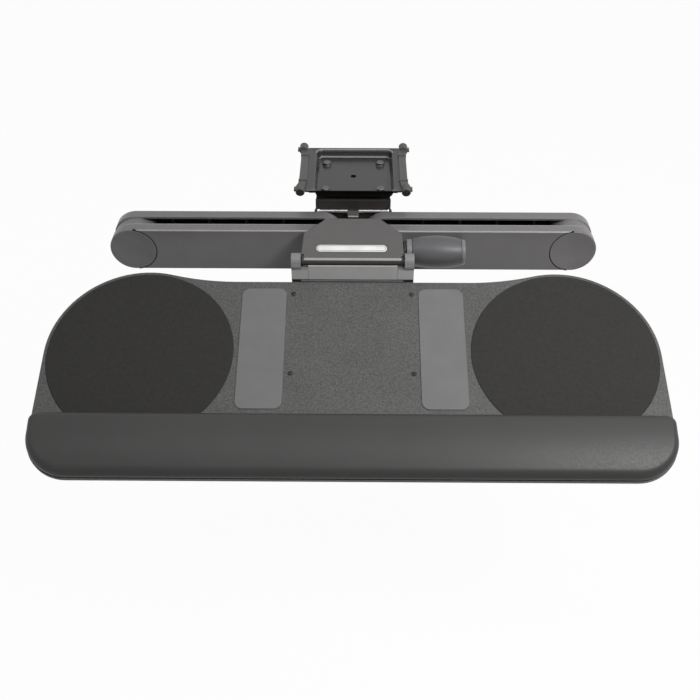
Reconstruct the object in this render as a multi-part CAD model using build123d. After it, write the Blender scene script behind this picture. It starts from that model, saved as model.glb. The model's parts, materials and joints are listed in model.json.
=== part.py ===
from build123d import *
import os
from math import acos, asin, atan2, cos, degrees, hypot, pi, radians, sin, sqrt, tan

# Keyboard tray on a lifting arm, for the underside of a desk. Millimetres.
# X runs to the right, Y to the back, Z up. The origin is the middle of the
# trolley at the level of its rim, on the swivel axis.
# Driving dimensions

overrun = 1.0
joint_gap = 0.3
seat_gap = 0.05
running_gap = 0.06

# Trolley plate and its pan
trolley_width = 119.0
trolley_depth = 109.0
trolley_corner = 3.0
trolley_sheet = 2.0
pan_width = 92.0
pan_depth = 96.0
pan_drop = 10.0
pan_corner = 7.0
pan_draft_deg = 12.0
centre_hole_radius = 3.5
rim_fold = 3.0

# Bolts in the pan
bolt_spacing_x = 68.0
bolt_spacing_y = 64.0
bolt_pattern_y = -3.0
bolt_radius = 3.0
bolt_hex_width = 9.5
bolt_head_height = 3.6
bolt_chamfer = 0.7
bolt_flange_radius = 6.0
bolt_flange_height = 1.2

# Glide shoes on the trolley's edges
glide_length = 116.0
glide_width = 9.5
glide_height = 6.0
glide_bite = 2.4
glide_stand = 2.6
collar_spacing = 62.0
collar_length = 2.2
collar_stand = 1.0
bumper_radius = 4.6
bumper_length = 9.0
bumper_flare = 2.2
bumper_drop = 2.0
bumper_round = 0.75
fin_reach = 3.0
fin_length = 8.0
fin_thick = 2.4

# Turntable under the pan
race_sheet = 2.0
race_plate_width = 90.0
race_plate_depth = 82.0
race_wall = 2.5
race_outer_radius = 41.0
ball_radius = 1.6
ball_circle_radius = 33.0
ball_count = 20
race_lip_width = 6.0
race_hub_bore = 9.0

# Neck bracket
neck_width = 92.0
neck_sheet = 3.0
neck_front_y = -49.2
neck_top_gap = 0.7
neck_flange_back = 44.0
neck_side_depth = 16.0
neck_side_sheet = 2.5
neck_shoulder_drop = 8.0
neck_flange_corner = 30.0
neck_rod_radius = 2.2
neck_rod_z = -30.6
neck_rod_over = 1.5
neck_rod_round = 0.75
hook_width = 13.8
hook_sheet = 1.8
hook_reach = 4.6
hook_drop = 4.2
hook_round = 0.6

# Arms
pivot_z = -55.5
hub_half_spread = 40.0
knuckle_half_spread = 266.0
arm_front_y = -98.0
arm_thick = 14.4
arm_gap = 15.0
arm_height = 56.0
arm_wall = 3.0
arm_edge_round = 1.4
arm_boss_radius = 14.0
arm_rib_thick = 2.5
arm_cross_ribs = 4
pin_radius = 6.0
open_pivot_gap = 0.35

# Knuckles
cap_thick = 3.0
cap_seam = 0.4
cap_dish = 0.9
cap_dish_radius = 23.3
cap_round = 0.8
drum_outer_radius = 26.5
drum_wall = 4.0
pin_head_radius = 9.0
pin_head_height = 2.4
rivet_head_radius = 9.5
rivet_head_height = 2.0
rivet_head_round = 1.0
spring_band = 1.2
spring_pitch = 3.2
spring_half_turns = 7
spring_height = 9.0

# Gear sectors that tie the left and right arms
gear_teeth = 40
gear_pressure_deg = 20.0
gear_thick = 4.6
gear_addendum_share = 0.85
gear_dedendum_share = 1.1
gear_backlash = 0.45
gear_sector_pitches = 3.5
gear_flank_shares = (0, 0.35, 0.7, 1)
gear_hub_radius = 13.0
gear_screw_radius = 1.75
gear_screw_head_radius = 3.2
gear_screw_head_height = 1.8
gear_screw_depth = 6.0
clip_thick = 1.2
clip_outer_radius = 8.5
pin_tail = 0.8

# Front hub plate
hub_sheet = 4.0
hub_half_width = 54.0
hub_top_half_width = 40.0
hub_top_gap = 1.4
hub_shoulder_drop = 14.0
hub_bottom_corner = 14.0
hub_cheek_thick = 3.0
hub_cheek_clear = 7.5

# Tilt hinge
hinge_y = -146.0
hinge_z = -37.5
hinge_pin_radius = 3.3
hinge_pin_chamfer = 0.55
ear_inner_x = 60.0
ear_thick = 11.0
ear_radius = 9.6
bush_radius = 6.3
bush_round = 0.8

# Cover plate
cover_sheet = 1.6
cover_rear_y = -86.0
cover_rear_z = -17.7
cover_rear_half_width = 31.6
cover_shoulder_half_width = 57.7
cover_front_half_width = 59.5
cover_shoulder_run = 23.6
cover_front_back_off = 7.0
cover_corner = 2.5
lip_half_width = 56.5
strip_length = 83.0
strip_width = 11.6
strip_place = 46.6
strip_thick = 1.0
strip_stand = 0.35

# Tilt drive: shaft, knob and wedge nut
shaft_y = -119.5
shaft_z = -42.0
shaft_radius = 4.5
shaft_end = 2.0
shaft_ring_radius = 6.75
shaft_ring_thick = 1.6
knob_collar_x = 62.7
knob_collar_length = 6.6
knob_collar_radius = 15.0
knob_groove = 0.6
knob_groove_radius = 14.1
knob_edge_round = 0.4
knob_length = 57.2
knob_end_radius = 15.7
knob_middle_radius = 19.4
knob_ring_length = 4.4
knob_ring_radius = 14.8
knob_ring_round = 1.6
tilt_front_up_deg = 30.0
tilt_front_down_deg = 2.0
nut_travel = 36.0
nut_width = 22.0
nut_forward = 2.0
nut_above_shaft = 7.0
nut_below_shaft = 9.5
nut_end_cover = 1.0
heel_pad_radius = 3.0
heel_pad_length = 6.0
heel_web_half_width = 12.0
heel_arm_thick = 4.0
guide_height = 8.0

# Tray bracket and its board
tray_tilt_deg = 20.0
hinge_behind_board = 15.1
hinge_above_board = 18.1
panel_sheet = 1.5
panel_edge_round = 0.4
panel_half_width = 51.5
panel_seam = 0.3
panel_face_offset = 7.15
panel_top_along = 1.6
panel_bottom_along = 20.6
panel_lean_deg = 21.2
riser_sheet = 2.5
riser_top_along = 9.4
foot_top_along = 4.2
bracket_reach = 136.0
bracket_sheet = 2.5
bracket_rear_corner = 10.0

board_half_width = 345.0
board_depth = 246.0
board_thick = 6.0
board_corner_radius = 47.0
board_dip = 1.5
board_edge_round = 0.8
lobe_share = 0.313
lobe_reach = 11.0
dip_blend_share = 0.944

pad_edge_clear = 3.5
pad_thick = 2.0
pad_inset = 1.2
pad_edge_round = 0.4
pad_palm_gap = 1.0
grip_width_share = 0.1493
grip_pad_clear = 5.15
grip_first_run = 11.5
grip_palm_clear = 6.5
grip_corner = 9.0
grip_thick = 1.8
grip_inset = 0.8
grip_edge_round = 0.45

grip_screw_clear = 7.6
tray_screw_edge = 6.75
tray_screw_spacing_run = 103.6
tray_screw_first_run = 18.3
tray_screw_radius = 2.0
tray_screw_head_radius = 2.8
tray_screw_head_height = 0.7
tray_screw_head_round = 0.35
tray_screw_tail = 3.5
tray_nut_width = 7.0
tray_nut_height = 3.0

# Palm rest
palm_depth = 76.0
palm_front_over = 2.0
palm_base_thick = 2.0
palm_base_inset = 3.0
palm_height = 20.0
palm_crown_radius = 260.0
palm_crown_place = 36.0
palm_front_round = 12.5
palm_rear_round = 7.0
palm_tuck_round = 3.0

# Places worked out from the driving dimensions
pan_floor_z = -pan_drop
pan_bottom_z = pan_floor_z - trolley_sheet
race_top_z = pan_bottom_z
race_plate_bottom_z = race_top_z - race_sheet
neck_top_z = race_plate_bottom_z - neck_top_gap
lower_race_top_z = race_plate_bottom_z - 2 * ball_radius - 2 * seat_gap
lower_race_bottom_z = lower_race_top_z - race_sheet
lip_top_z = lower_race_bottom_z - joint_gap
lip_bottom_z = lip_top_z - race_sheet
neck_flange_z = lip_bottom_z - joint_gap - neck_sheet
race_hole_radius = centre_hole_radius + race_wall

arm_length = knuckle_half_spread - hub_half_spread
arm_radius = arm_height / 2
front_arm_back_y = arm_front_y + arm_thick
rear_arm_front_y = front_arm_back_y + arm_gap
rear_arm_back_y = rear_arm_front_y + arm_thick
bore_radius = pin_radius + running_gap
open_bore_radius = pin_radius + open_pivot_gap
drum_depth = arm_gap - joint_gap
cap_floor_y = arm_front_y + cap_thick

gear_pitch_radius = hub_half_spread
gear_module = 2 * gear_pitch_radius / gear_teeth
gear_tip_radius = gear_pitch_radius + gear_addendum_share * gear_module
gear_root_radius = gear_pitch_radius - gear_dedendum_share * gear_module
gear_base_radius = gear_pitch_radius * cos(radians(gear_pressure_deg))
gear_screw_circle = (pin_radius + arm_boss_radius) / 2

hub_plate_back_y = arm_front_y - 2 * joint_gap
hub_plate_front_y = hub_plate_back_y - hub_sheet
curl_bore = hinge_pin_radius + running_gap
curl_radius = curl_bore + cover_sheet
cover_run_y = cover_rear_y - hinge_y
cover_run_z = cover_rear_z - hinge_z
cover_reach = hypot(cover_run_y, cover_run_z)
cover_slope_deg = degrees(atan2(cover_run_z, cover_run_y) - asin(curl_radius / cover_reach))
cover_length = sqrt(cover_reach ** 2 - curl_radius ** 2)

lobe_radius = board_half_width * lobe_share
lobe_x = board_half_width - lobe_radius
dip_end_x = lobe_x - dip_blend_share * lobe_radius
pad_radius = lobe_radius - pad_edge_clear
grip_width = board_half_width * grip_width_share
grip_centre_x = lobe_x - pad_radius - grip_pad_clear - grip_width / 2
palm_rear = board_depth + palm_front_over - palm_depth
palm_crown_run = palm_rear + palm_crown_place
pad_front = palm_rear - pad_palm_gap
grip_length = palm_rear - grip_palm_clear - grip_first_run
grip_centre_run = grip_first_run + grip_length / 2
tray_screw_x = grip_centre_x - grip_width / 2 - grip_screw_clear
bracket_half_width = tray_screw_x + tray_screw_edge

board_top = -hinge_above_board
board_bottom = board_top - board_thick
palm_base_bottom = board_top
palm_bottom = board_top + palm_base_thick

tilt_cos = cos(radians(tray_tilt_deg))
tilt_sin = sin(radians(tray_tilt_deg))
tray_place = Plane(origin=(0, hinge_y, hinge_z), x_dir=(1, 0, 0), z_dir=(0, -tilt_sin, tilt_cos))
cover_place = Plane(
    origin=(0, cover_rear_y, cover_rear_z),
    x_dir=(1, 0, 0),
    z_dir=(0, -sin(radians(cover_slope_deg)), cos(radians(cover_slope_deg))),
)

# The heel's pad at rest, seen from the hinge axis, and where the nut meets it
heel_back = shaft_y - hinge_y
heel_drop = hinge_z - shaft_z + nut_below_shaft + heel_pad_radius + joint_gap
heel_arm_length = hypot(heel_back, heel_drop)
heel_angle = atan2(heel_drop, heel_back)
heel_high = heel_arm_length * sin(heel_angle - radians(tilt_front_down_deg))
heel_low = heel_arm_length * sin(heel_angle + radians(tilt_front_up_deg))
tilt_range_deg = tilt_front_up_deg + tilt_front_down_deg
wedge_slope = (heel_low - heel_high) / nut_travel
nut_right_x = heel_pad_length / 2 + nut_end_cover + nut_travel * tilt_front_down_deg / tilt_range_deg
nut_left_x = -heel_pad_length / 2 - nut_end_cover - nut_travel * tilt_front_up_deg / tilt_range_deg


def flat(sketch, low, height):
    """A sketch on X and Y, raised from the level low."""
    return extrude(Plane.XY.offset(low) * sketch, height)


def upright(sketch, front, thick):
    """A sketch on X and Z, from the place front towards the back."""
    return extrude(Plane.XZ.offset(-(front + thick)) * sketch, thick)


def across(sketch, left, width):
    """A sketch on Y and Z, from the place left towards the right."""
    return extrude(Plane.YZ.offset(left) * sketch, width)


def disc_y(radius, x, z, front, thick):
    """A disc that faces the front."""
    return upright(Pos(x, z) * Circle(radius), front, thick)


def rod_x(radius, y, z, left, width):
    """A rod along X."""
    return across(Pos(y, z) * Circle(radius), left, width)


def polygon(points):
    """A face inside a closed line of points."""
    return make_face(Polyline(*points, close=True))


def both_sides(part):
    """The part and its mirror image across the middle."""
    return [part, mirror(part, Plane.YZ)]


def save(name, shape):
    """One file for each sub-part."""
    shape.label = name
    export_step(shape, os.path.join("parts", name + ".step"))


def group(solids):
    """Several like solids as one sub-part."""
    return Compound(children=list(solids))


# Trolley

def pan_block(drop, shrink):
    """The tapered block of the pan, with its top at the rim."""
    width = pan_width - 2 * shrink
    depth = pan_depth - 2 * shrink
    plan = RectangleRounded(width, depth, pan_corner - shrink)
    return extrude(plan, -drop, taper=pan_draft_deg)


def make_trolley_plate():
    rim = flat(RectangleRounded(trolley_width, trolley_depth, trolley_corner), -trolley_sheet, trolley_sheet)
    outer = pan_block(pan_drop + trolley_sheet, 0)
    inner = pan_block(pan_drop, trolley_sheet)
    plate = rim + outer - inner
    plate -= flat(Circle(centre_hole_radius), pan_bottom_z - overrun, trolley_sheet + 2 * overrun)
    for x, y in bolt_places():
        hole = Circle(bolt_radius + seat_gap)
        plate -= flat(Pos(x, y) * hole, pan_bottom_z - overrun, trolley_sheet + 2 * overrun)
    for side in (-1, 1):
        turned = Rectangle(trolley_width - 2 * (glide_bite + trolley_corner), trolley_sheet)
        place = side * (trolley_depth / 2 - trolley_sheet / 2)
        plate += flat(Pos(0, place) * turned, -rim_fold, rim_fold - trolley_sheet / 2)
    return plate


def bolt_places():
    """The four bolts of the pan."""
    half_x = bolt_spacing_x / 2
    half_y = bolt_spacing_y / 2
    return [(i * half_x, bolt_pattern_y + j * half_y) for i in (-1, 1) for j in (-1, 1)]


def make_trolley_bolt(x, y):
    flange = flat(Circle(bolt_flange_radius), pan_floor_z, bolt_flange_height)
    head = RegularPolygon(bolt_hex_width / 2, 6, major_radius=False)
    block = flat(head, pan_floor_z, bolt_flange_height + bolt_head_height)
    block = chamfer(block.edges().group_by(Axis.Z)[-1], bolt_chamfer)
    shank_length = trolley_sheet + race_sheet
    shank = flat(Circle(bolt_radius), pan_floor_z - shank_length, shank_length)
    return Pos(x, y, 0) * (flange + block + shank)


def make_glide():
    """The right-hand shoe, with its groove on the plate's edge."""
    inner_x = trolley_width / 2 - glide_bite
    middle_x = inner_x + glide_width / 2
    low = glide_stand - glide_height
    body = Pos(middle_x, 0, glide_stand - glide_height / 2) * Box(glide_width, collar_spacing, glide_height)
    body = fillet(body.edges().filter_by(Axis.Y).group_by(Axis.Z)[-1], collar_stand)
    shoe = body
    end_length = (glide_length - collar_spacing) / 2 - bumper_length / 2
    for end in (-1, 1):
        collar_y = end * collar_spacing / 2
        collar_box = Box(glide_width + collar_stand, collar_length, glide_height + collar_stand)
        shoe += Pos(middle_x, collar_y, glide_stand - (glide_height - collar_stand) / 2) * collar_box
        tip_y = end * (collar_spacing / 2 + end_length)
        outline = polygon([
            (middle_x - glide_width / 2, collar_y),
            (middle_x + glide_width / 2, collar_y),
            (middle_x + glide_width / 2 + bumper_flare, tip_y),
            (middle_x - glide_width / 2 + bumper_flare, tip_y),
        ])
        block = flat(outline, low, glide_height)
        shoe += block
        bumper_x = middle_x + bumper_flare
        bumper_z = glide_stand - bumper_drop
        bumper = Cylinder(bumper_radius, bumper_length, rotation=(90, 0, 0))
        bumper = fillet(bumper.edges(), bumper_round)
        bumper_y = end * (glide_length - bumper_length) / 2
        shoe += Pos(bumper_x, bumper_y, bumper_z) * bumper
        fin_x = middle_x + glide_width / 2 + bumper_flare + fin_reach / 2 - seat_gap
        fin_box = Box(fin_reach, fin_length, fin_thick)
        shoe += Pos(fin_x, bumper_y - end * bumper_length / 2, bumper_z) * fin_box
    groove_x = trolley_width / 2 + seat_gap
    groove = Box(groove_x, glide_length + 2 * overrun, trolley_sheet + 2 * seat_gap)
    shoe -= Pos(groove_x / 2, 0, -trolley_sheet / 2) * groove
    fold_zone = Box(groove_x, trolley_depth + 2 * joint_gap, rim_fold + joint_gap)
    return shoe - Pos(groove_x / 2 - overrun - glide_bite, 0, -(rim_fold + joint_gap) / 2) * fold_zone


def make_upper_race():
    plate = flat(RectangleRounded(race_plate_width, race_plate_depth, pan_corner), race_plate_bottom_z, race_sheet)
    wall = flat(Circle(race_outer_radius), lip_bottom_z, race_plate_bottom_z - lip_bottom_z)
    wall -= flat(Circle(race_outer_radius - race_wall), lip_top_z, race_plate_bottom_z - lip_top_z)
    wall -= flat(Circle(race_outer_radius - race_lip_width), lip_bottom_z - overrun, race_sheet + 2 * overrun)
    race = plate + wall
    race -= flat(Circle(race_hole_radius), race_plate_bottom_z - overrun, race_sheet + 2 * overrun)
    for x, y in bolt_places():
        hole = Pos(x, y) * Circle(bolt_radius + seat_gap)
        race -= flat(hole, race_plate_bottom_z - overrun, race_sheet + 2 * overrun)
    return race


def make_lower_race():
    """The disc that the upper race's lip holds, with its step down to the neck."""
    disc_radius = race_outer_radius - race_wall - joint_gap
    step_radius = race_outer_radius - race_lip_width - joint_gap
    disc = flat(Circle(disc_radius), lower_race_bottom_z, race_sheet)
    step_low = neck_flange_z + neck_sheet
    disc += flat(Circle(step_radius), step_low, lower_race_bottom_z - step_low)
    return disc - flat(Circle(race_hub_bore), step_low - overrun, lower_race_top_z - step_low + 2 * overrun)


def make_swivel_balls():
    balls = []
    for i in range(ball_count):
        turn = 2 * pi * i / ball_count
        place = (ball_circle_radius * cos(turn), ball_circle_radius * sin(turn), lower_race_top_z + ball_radius)
        balls.append(Pos(*place) * Sphere(ball_radius - seat_gap))
    return group(balls)


# Neck

def make_neck_bracket():
    half = neck_width / 2
    bottom = pivot_z - arm_radius
    wide = hub_half_spread + arm_boss_radius
    right = [
        (half, neck_top_z), (half, pivot_z + arm_radius - neck_shoulder_drop),
        (wide, pivot_z + arm_boss_radius), (wide, pivot_z - arm_boss_radius / 2), (hub_half_spread, bottom),
    ]
    left = [(-x, z) for x, z in reversed(right)]
    drop = upright(polygon(right + left), neck_front_y, neck_sheet)
    flange_depth = neck_flange_back - neck_front_y
    flange_mid = (neck_flange_back + neck_front_y) / 2
    flange = flat(Pos(0, flange_mid) * Rectangle(neck_width, flange_depth), neck_flange_z, neck_sheet)
    flange = fillet(flange.edges().filter_by(Axis.Z).group_by(Axis.Y)[-1], neck_flange_corner)
    bracket = drop + flange
    back = neck_front_y + neck_sheet
    cheek = polygon([
        (neck_front_y, neck_flange_z), (back + neck_side_depth * 2, neck_flange_z),
        (back + neck_side_depth, neck_flange_z - neck_side_depth),
        (back + neck_side_depth / 2, pivot_z), (neck_front_y, pivot_z),
    ])
    for side in both_sides(across(cheek, half - neck_side_sheet, neck_side_sheet)):
        bracket += side
    boss_front = rear_arm_back_y + joint_gap
    for x in (-hub_half_spread, hub_half_spread):
        bracket += disc_y(arm_boss_radius - arm_wall, x, pivot_z, boss_front, neck_front_y - boss_front)
        depth = neck_front_y - boss_front + neck_sheet + 2 * overrun
        bracket -= disc_y(pin_radius + seat_gap, x, pivot_z, boss_front - overrun, depth)
    bore_height = neck_sheet + 2 * overrun
    return bracket - flat(Circle(race_hub_bore), neck_flange_z - overrun, bore_height)


def make_neck_rod():
    rod_y = neck_front_y - neck_rod_radius
    length = neck_width + 2 * neck_rod_over
    rod = rod_x(neck_rod_radius, rod_y, neck_rod_z, -length / 2, length)
    return fillet(rod.edges(), neck_rod_round)


def make_rod_hook():
    """A folded strip over the rod, with its lip between the arms' round ends."""
    rod_y = neck_front_y - neck_rod_radius
    over = neck_rod_z + neck_rod_radius + seat_gap
    front = rod_y - neck_rod_radius - joint_gap
    lip_y = front - hook_reach
    outline = [
        (neck_front_y, over), (neck_front_y, over + hook_sheet),
        (front, over + hook_sheet), (lip_y, over + hook_sheet - hook_drop),
        (lip_y, over - hook_drop), (front, over),
    ]
    hook = across(polygon(outline), -hook_width / 2, hook_width)
    return fillet(hook.edges().filter_by(Axis.X).group_by(Axis.Z)[-1], hook_round)


def make_pivot_pins(start, length):
    """The two pins of a hub."""
    pins = []
    for x in (-hub_half_spread, hub_half_spread):
        pins.append(disc_y(pin_radius, x, pivot_z, start, length))
    return group(pins)


def make_pivot_clips(front):
    """Retaining rings on the two pins."""
    clips = []
    for x in (-hub_half_spread, hub_half_spread):
        ring = disc_y(clip_outer_radius, x, pivot_z, front, clip_thick)
        ring -= disc_y(pin_radius + seat_gap, x, pivot_z, front - overrun, clip_thick + 2 * overrun)
        slot = Pos(x, pivot_z - clip_outer_radius) * Rectangle(pin_radius, clip_outer_radius)
        clips.append(ring - upright(slot, front - overrun, clip_thick + 2 * overrun))
    return group(clips)


# Arms, made for the right-hand side

def arm_outline(shrink):
    """The long round-ended shape of an arm, on X and Z."""
    middle = (hub_half_spread + knuckle_half_spread) / 2
    return Pos(middle, pivot_z) * SlotCenterToCenter(arm_length, arm_height - 2 * shrink)


def gear_screw_places():
    """The two screws of a gear sector, on the arm's boss."""
    return [(hub_half_spread, pivot_z + side * gear_screw_circle) for side in (-1, 1)]


def make_arm(front_pair, hub_bore_radius):
    front = arm_front_y if front_pair else rear_arm_front_y
    arm = upright(arm_outline(0), front, arm_thick)
    face = arm.edges().group_by(Axis.Y)[0 if front_pair else -1]
    arm = fillet(face, arm_edge_round)
    pocket_front = front + arm_wall if front_pair else front - overrun
    pocket = upright(arm_outline(arm_wall), pocket_front, arm_thick - arm_wall + overrun)
    for x in (hub_half_spread, knuckle_half_spread):
        pocket -= disc_y(arm_boss_radius, x, pivot_z, pocket_front - overrun, arm_thick + 2 * overrun)
    middle = (hub_half_spread + knuckle_half_spread) / 2
    rib = Pos(middle, pivot_z) * Rectangle(arm_length, arm_rib_thick)
    pocket -= upright(rib, pocket_front - overrun, arm_thick + 2 * overrun)
    for i in range(arm_cross_ribs):
        rib_x = hub_half_spread + arm_length * (i + 1) / (arm_cross_ribs + 1)
        cross = Pos(rib_x, pivot_z) * Rectangle(arm_rib_thick, arm_height)
        pocket -= upright(cross, pocket_front - overrun, arm_thick + 2 * overrun)
    arm -= pocket
    for x, radius in ((hub_half_spread, hub_bore_radius), (knuckle_half_spread, bore_radius)):
        arm -= disc_y(radius, x, pivot_z, front - overrun, arm_thick + 2 * overrun)
    screw_front = front_arm_back_y - gear_screw_depth if front_pair else rear_arm_front_y - overrun
    for x, z in gear_screw_places():
        arm -= disc_y(gear_screw_radius + seat_gap, x, z, screw_front, gear_screw_depth + overrun)
    return arm


def make_front_arm(hub_bore_radius):
    arm = make_arm(True, hub_bore_radius)
    seat = disc_y(arm_radius + cap_seam, knuckle_half_spread, pivot_z, arm_front_y - overrun, cap_thick + overrun)
    arm -= seat
    head_room = pin_head_height + 2 * joint_gap
    return arm - disc_y(pin_head_radius + joint_gap, knuckle_half_spread, pivot_z, cap_floor_y - overrun,
                        head_room + overrun)


def make_rear_arm():
    arm = make_arm(False, bore_radius)
    floor_y = rear_arm_back_y - arm_wall
    drum_front = rear_arm_front_y - drum_depth
    drum = disc_y(drum_outer_radius, knuckle_half_spread, pivot_z, drum_front, floor_y - drum_front)
    hollow = drum_outer_radius - drum_wall
    drum -= disc_y(hollow, knuckle_half_spread, pivot_z, drum_front - overrun, floor_y - drum_front + 2 * overrun)
    return arm + drum


def make_front_cap():
    cap = disc_y(arm_radius, knuckle_half_spread, pivot_z, arm_front_y, cap_thick)
    cap = fillet(cap.edges().group_by(Axis.Y)[0], cap_round)
    sphere_radius = (cap_dish_radius ** 2 + cap_dish ** 2) / (2 * cap_dish)
    centre_y = arm_front_y + cap_dish - sphere_radius
    return cap - Pos(knuckle_half_spread, centre_y, pivot_z) * Sphere(sphere_radius)


def make_knuckle_pin():
    x = knuckle_half_spread
    head_front = cap_floor_y + joint_gap
    shank_end = rear_arm_back_y
    pin = disc_y(pin_radius, x, pivot_z, head_front, shank_end - head_front + rivet_head_height)
    pin += disc_y(pin_head_radius, x, pivot_z, head_front, pin_head_height)
    rivet = disc_y(rivet_head_radius, x, pivot_z, shank_end, rivet_head_height)
    rivet = fillet(rivet.edges().group_by(Axis.Y)[-1], rivet_head_round)
    return pin + rivet


def make_lift_spring():
    """A spiral band of half turns between the knuckle's pin and its drum."""
    first = pin_radius + joint_gap + spring_pitch / 4
    band = None
    for i in range(spring_half_turns):
        radius = first + spring_pitch * i / 2 + spring_band
        side = 1 if i % 2 else -1
        ring = Pos(side * spring_pitch / 4, 0) * (Circle(radius) - Circle(radius - spring_band))
        half = ring & (Pos(0, -side * radius) * Rectangle(4 * radius, 2 * radius))
        band = band + half if band else half
    front = rear_arm_front_y - (arm_gap + spring_height) / 2
    return upright(Pos(knuckle_half_spread, pivot_z) * band, front, spring_height)


def tooth_half_angle(radius):
    """Half of a tooth's angle at a radius, on an involute flank."""
    def involute(angle):
        return tan(angle) - angle
    at_pitch = pi / (2 * gear_teeth) - gear_backlash / (4 * gear_pitch_radius)
    flank = acos(min(gear_base_radius / radius, 1))
    return at_pitch + involute(radians(gear_pressure_deg)) - involute(flank)


def gear_face(shift):
    """A toothed sector about the origin, with its teeth towards +X."""
    pitch = 2 * pi / gear_teeth
    low = max(gear_root_radius, gear_base_radius)
    rise = gear_tip_radius - low
    points = [(0, 0)]
    count = int(gear_sector_pitches + shift)
    half_sector = gear_sector_pitches * pitch + pitch / 2
    points.append((gear_root_radius * cos(-half_sector), gear_root_radius * sin(-half_sector)))
    for k in range(-count, count + 1 - int(2 * shift)):
        middle = (k + shift) * pitch
        flank = [(low + rise * share, tooth_half_angle(low + rise * share)) for share in gear_flank_shares]
        if gear_root_radius < low:
            flank.insert(0, (gear_root_radius, tooth_half_angle(low)))
        for radius, half in flank:
            points.append((radius * cos(middle - half), radius * sin(middle - half)))
        for radius, half in reversed(flank):
            points.append((radius * cos(middle + half), radius * sin(middle + half)))
    points.append((gear_root_radius * cos(half_sector), gear_root_radius * sin(half_sector)))
    return polygon(points) + Circle(gear_hub_radius)


def make_gear(front_pair, shift, bore):
    """The right-hand sector, on its arm's inner face."""
    front = front_arm_back_y if front_pair else rear_arm_front_y - gear_thick
    sketch = gear_face(shift) - Circle(bore)
    gear = upright(Pos(hub_half_spread, pivot_z) * Rot(0, 0, 180) * sketch, front, gear_thick)
    for x, z in gear_screw_places():
        gear -= disc_y(gear_screw_radius + seat_gap, x, z, front - overrun, gear_thick + 2 * overrun)
        sink = front + gear_thick - gear_screw_head_height if front_pair else front - overrun
        gear -= disc_y(gear_screw_head_radius + seat_gap, x, z, sink, gear_screw_head_height + overrun)
    return gear


def make_gear_screws(front_pair):
    screws = []
    for x, z in gear_screw_places():
        length = gear_thick + gear_screw_depth - joint_gap
        if front_pair:
            end = front_arm_back_y + gear_thick
            shank = disc_y(gear_screw_radius, x, z, end - length, length)
            head = disc_y(gear_screw_head_radius, x, z, end - gear_screw_head_height, gear_screw_head_height)
        else:
            start = rear_arm_front_y - gear_thick
            length = gear_thick + gear_screw_depth - overrun - joint_gap
            shank = disc_y(gear_screw_radius, x, z, start, length)
            head = disc_y(gear_screw_head_radius, x, z, start, gear_screw_head_height)
        screws.append(shank + head)
    return group(screws)


# Front hub

def cover_height(y):
    """The level of the cover plate's upper face at a place along Y."""
    return cover_rear_z - (cover_rear_y - y) * tan(radians(cover_slope_deg))


def make_hub_plate():
    under = cover_sheet / cos(radians(cover_slope_deg)) + hub_top_gap
    top = cover_height(hub_plate_front_y) - under
    bottom = pivot_z - arm_radius
    half = hub_half_width
    shoulder = top - hub_shoulder_drop
    outline = polygon([
        (-hub_top_half_width, top), (hub_top_half_width, top), (half, shoulder),
        (half, pivot_z), (half - hub_bottom_corner, bottom),
        (-half + hub_bottom_corner, bottom), (-half, pivot_z), (-half, shoulder),
    ])
    plate = upright(outline, hub_plate_front_y, hub_sheet)
    for x in (-hub_half_spread, hub_half_spread):
        plate -= disc_y(pin_radius + seat_gap, x, pivot_z, hub_plate_front_y - overrun, hub_sheet + 2 * overrun)
    front = hinge_y + hub_cheek_clear
    corner = hub_plate_front_y - hub_sheet
    cheek = polygon([
        (hub_plate_back_y, shoulder), (corner, cover_height(corner) - under),
        (front, cover_height(front) - under), (front, hinge_z - curl_radius),
        (shaft_y, shaft_z - knob_collar_radius), (hub_plate_back_y, pivot_z),
    ])
    bore = rod_x(shaft_radius + running_gap, shaft_y, shaft_z, -half - overrun, 2 * half + 2 * overrun)
    for side in both_sides(across(cheek, half - hub_cheek_thick, hub_cheek_thick)):
        plate += side
    return plate - bore


def make_cover_plate():
    """The sloping cover, curled into a barrel round the hinge pin."""
    front = cover_length
    side_end = front - cover_front_back_off
    points = [
        (-cover_rear_half_width, 0), (-cover_shoulder_half_width, -cover_shoulder_run),
        (-cover_front_half_width, -side_end), (-lip_half_width, -side_end), (-lip_half_width, -front),
        (lip_half_width, -front), (lip_half_width, -side_end), (cover_front_half_width, -side_end),
        (cover_shoulder_half_width, -cover_shoulder_run), (cover_rear_half_width, 0),
    ]
    sheet = extrude(polygon(points), -cover_sheet)
    upright_edges = sheet.edges().filter_by(Axis.Z)
    corners = [e for e in upright_edges if -side_end / 2 < e.center().Y < -cover_sheet]
    sheet = fillet(corners, cover_corner)
    strip = Pos(0, -strip_place, strip_stand - strip_thick) * SlotOverall(strip_length, strip_width)
    sheet -= extrude(offset(strip, seat_gap), strip_thick)
    sheet = cover_place.location * sheet
    curl = rod_x(curl_radius, hinge_y, hinge_z, -lip_half_width, 2 * lip_half_width)
    bore = rod_x(curl_bore, hinge_y, hinge_z, -lip_half_width - overrun, 2 * (lip_half_width + overrun))
    return sheet + curl - bore


def make_gauge_strip():
    strip = Pos(0, -strip_place, strip_stand - strip_thick) * SlotOverall(strip_length, strip_width)
    return cover_place.location * extrude(strip, strip_thick)


def make_hinge_pin():
    half = ear_inner_x + ear_thick
    pin = rod_x(hinge_pin_radius, hinge_y, hinge_z, -half, 2 * half)
    return chamfer(pin.edges(), hinge_pin_chamfer)


def make_hinge_bushes():
    start = lip_half_width + joint_gap
    width = ear_inner_x - joint_gap - start
    bush = rod_x(bush_radius, hinge_y, hinge_z, start, width)
    bush = fillet(bush.edges(), bush_round)
    bush -= rod_x(curl_bore, hinge_y, hinge_z, start - overrun, width + 2 * overrun)
    return group(both_sides(bush))


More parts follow.
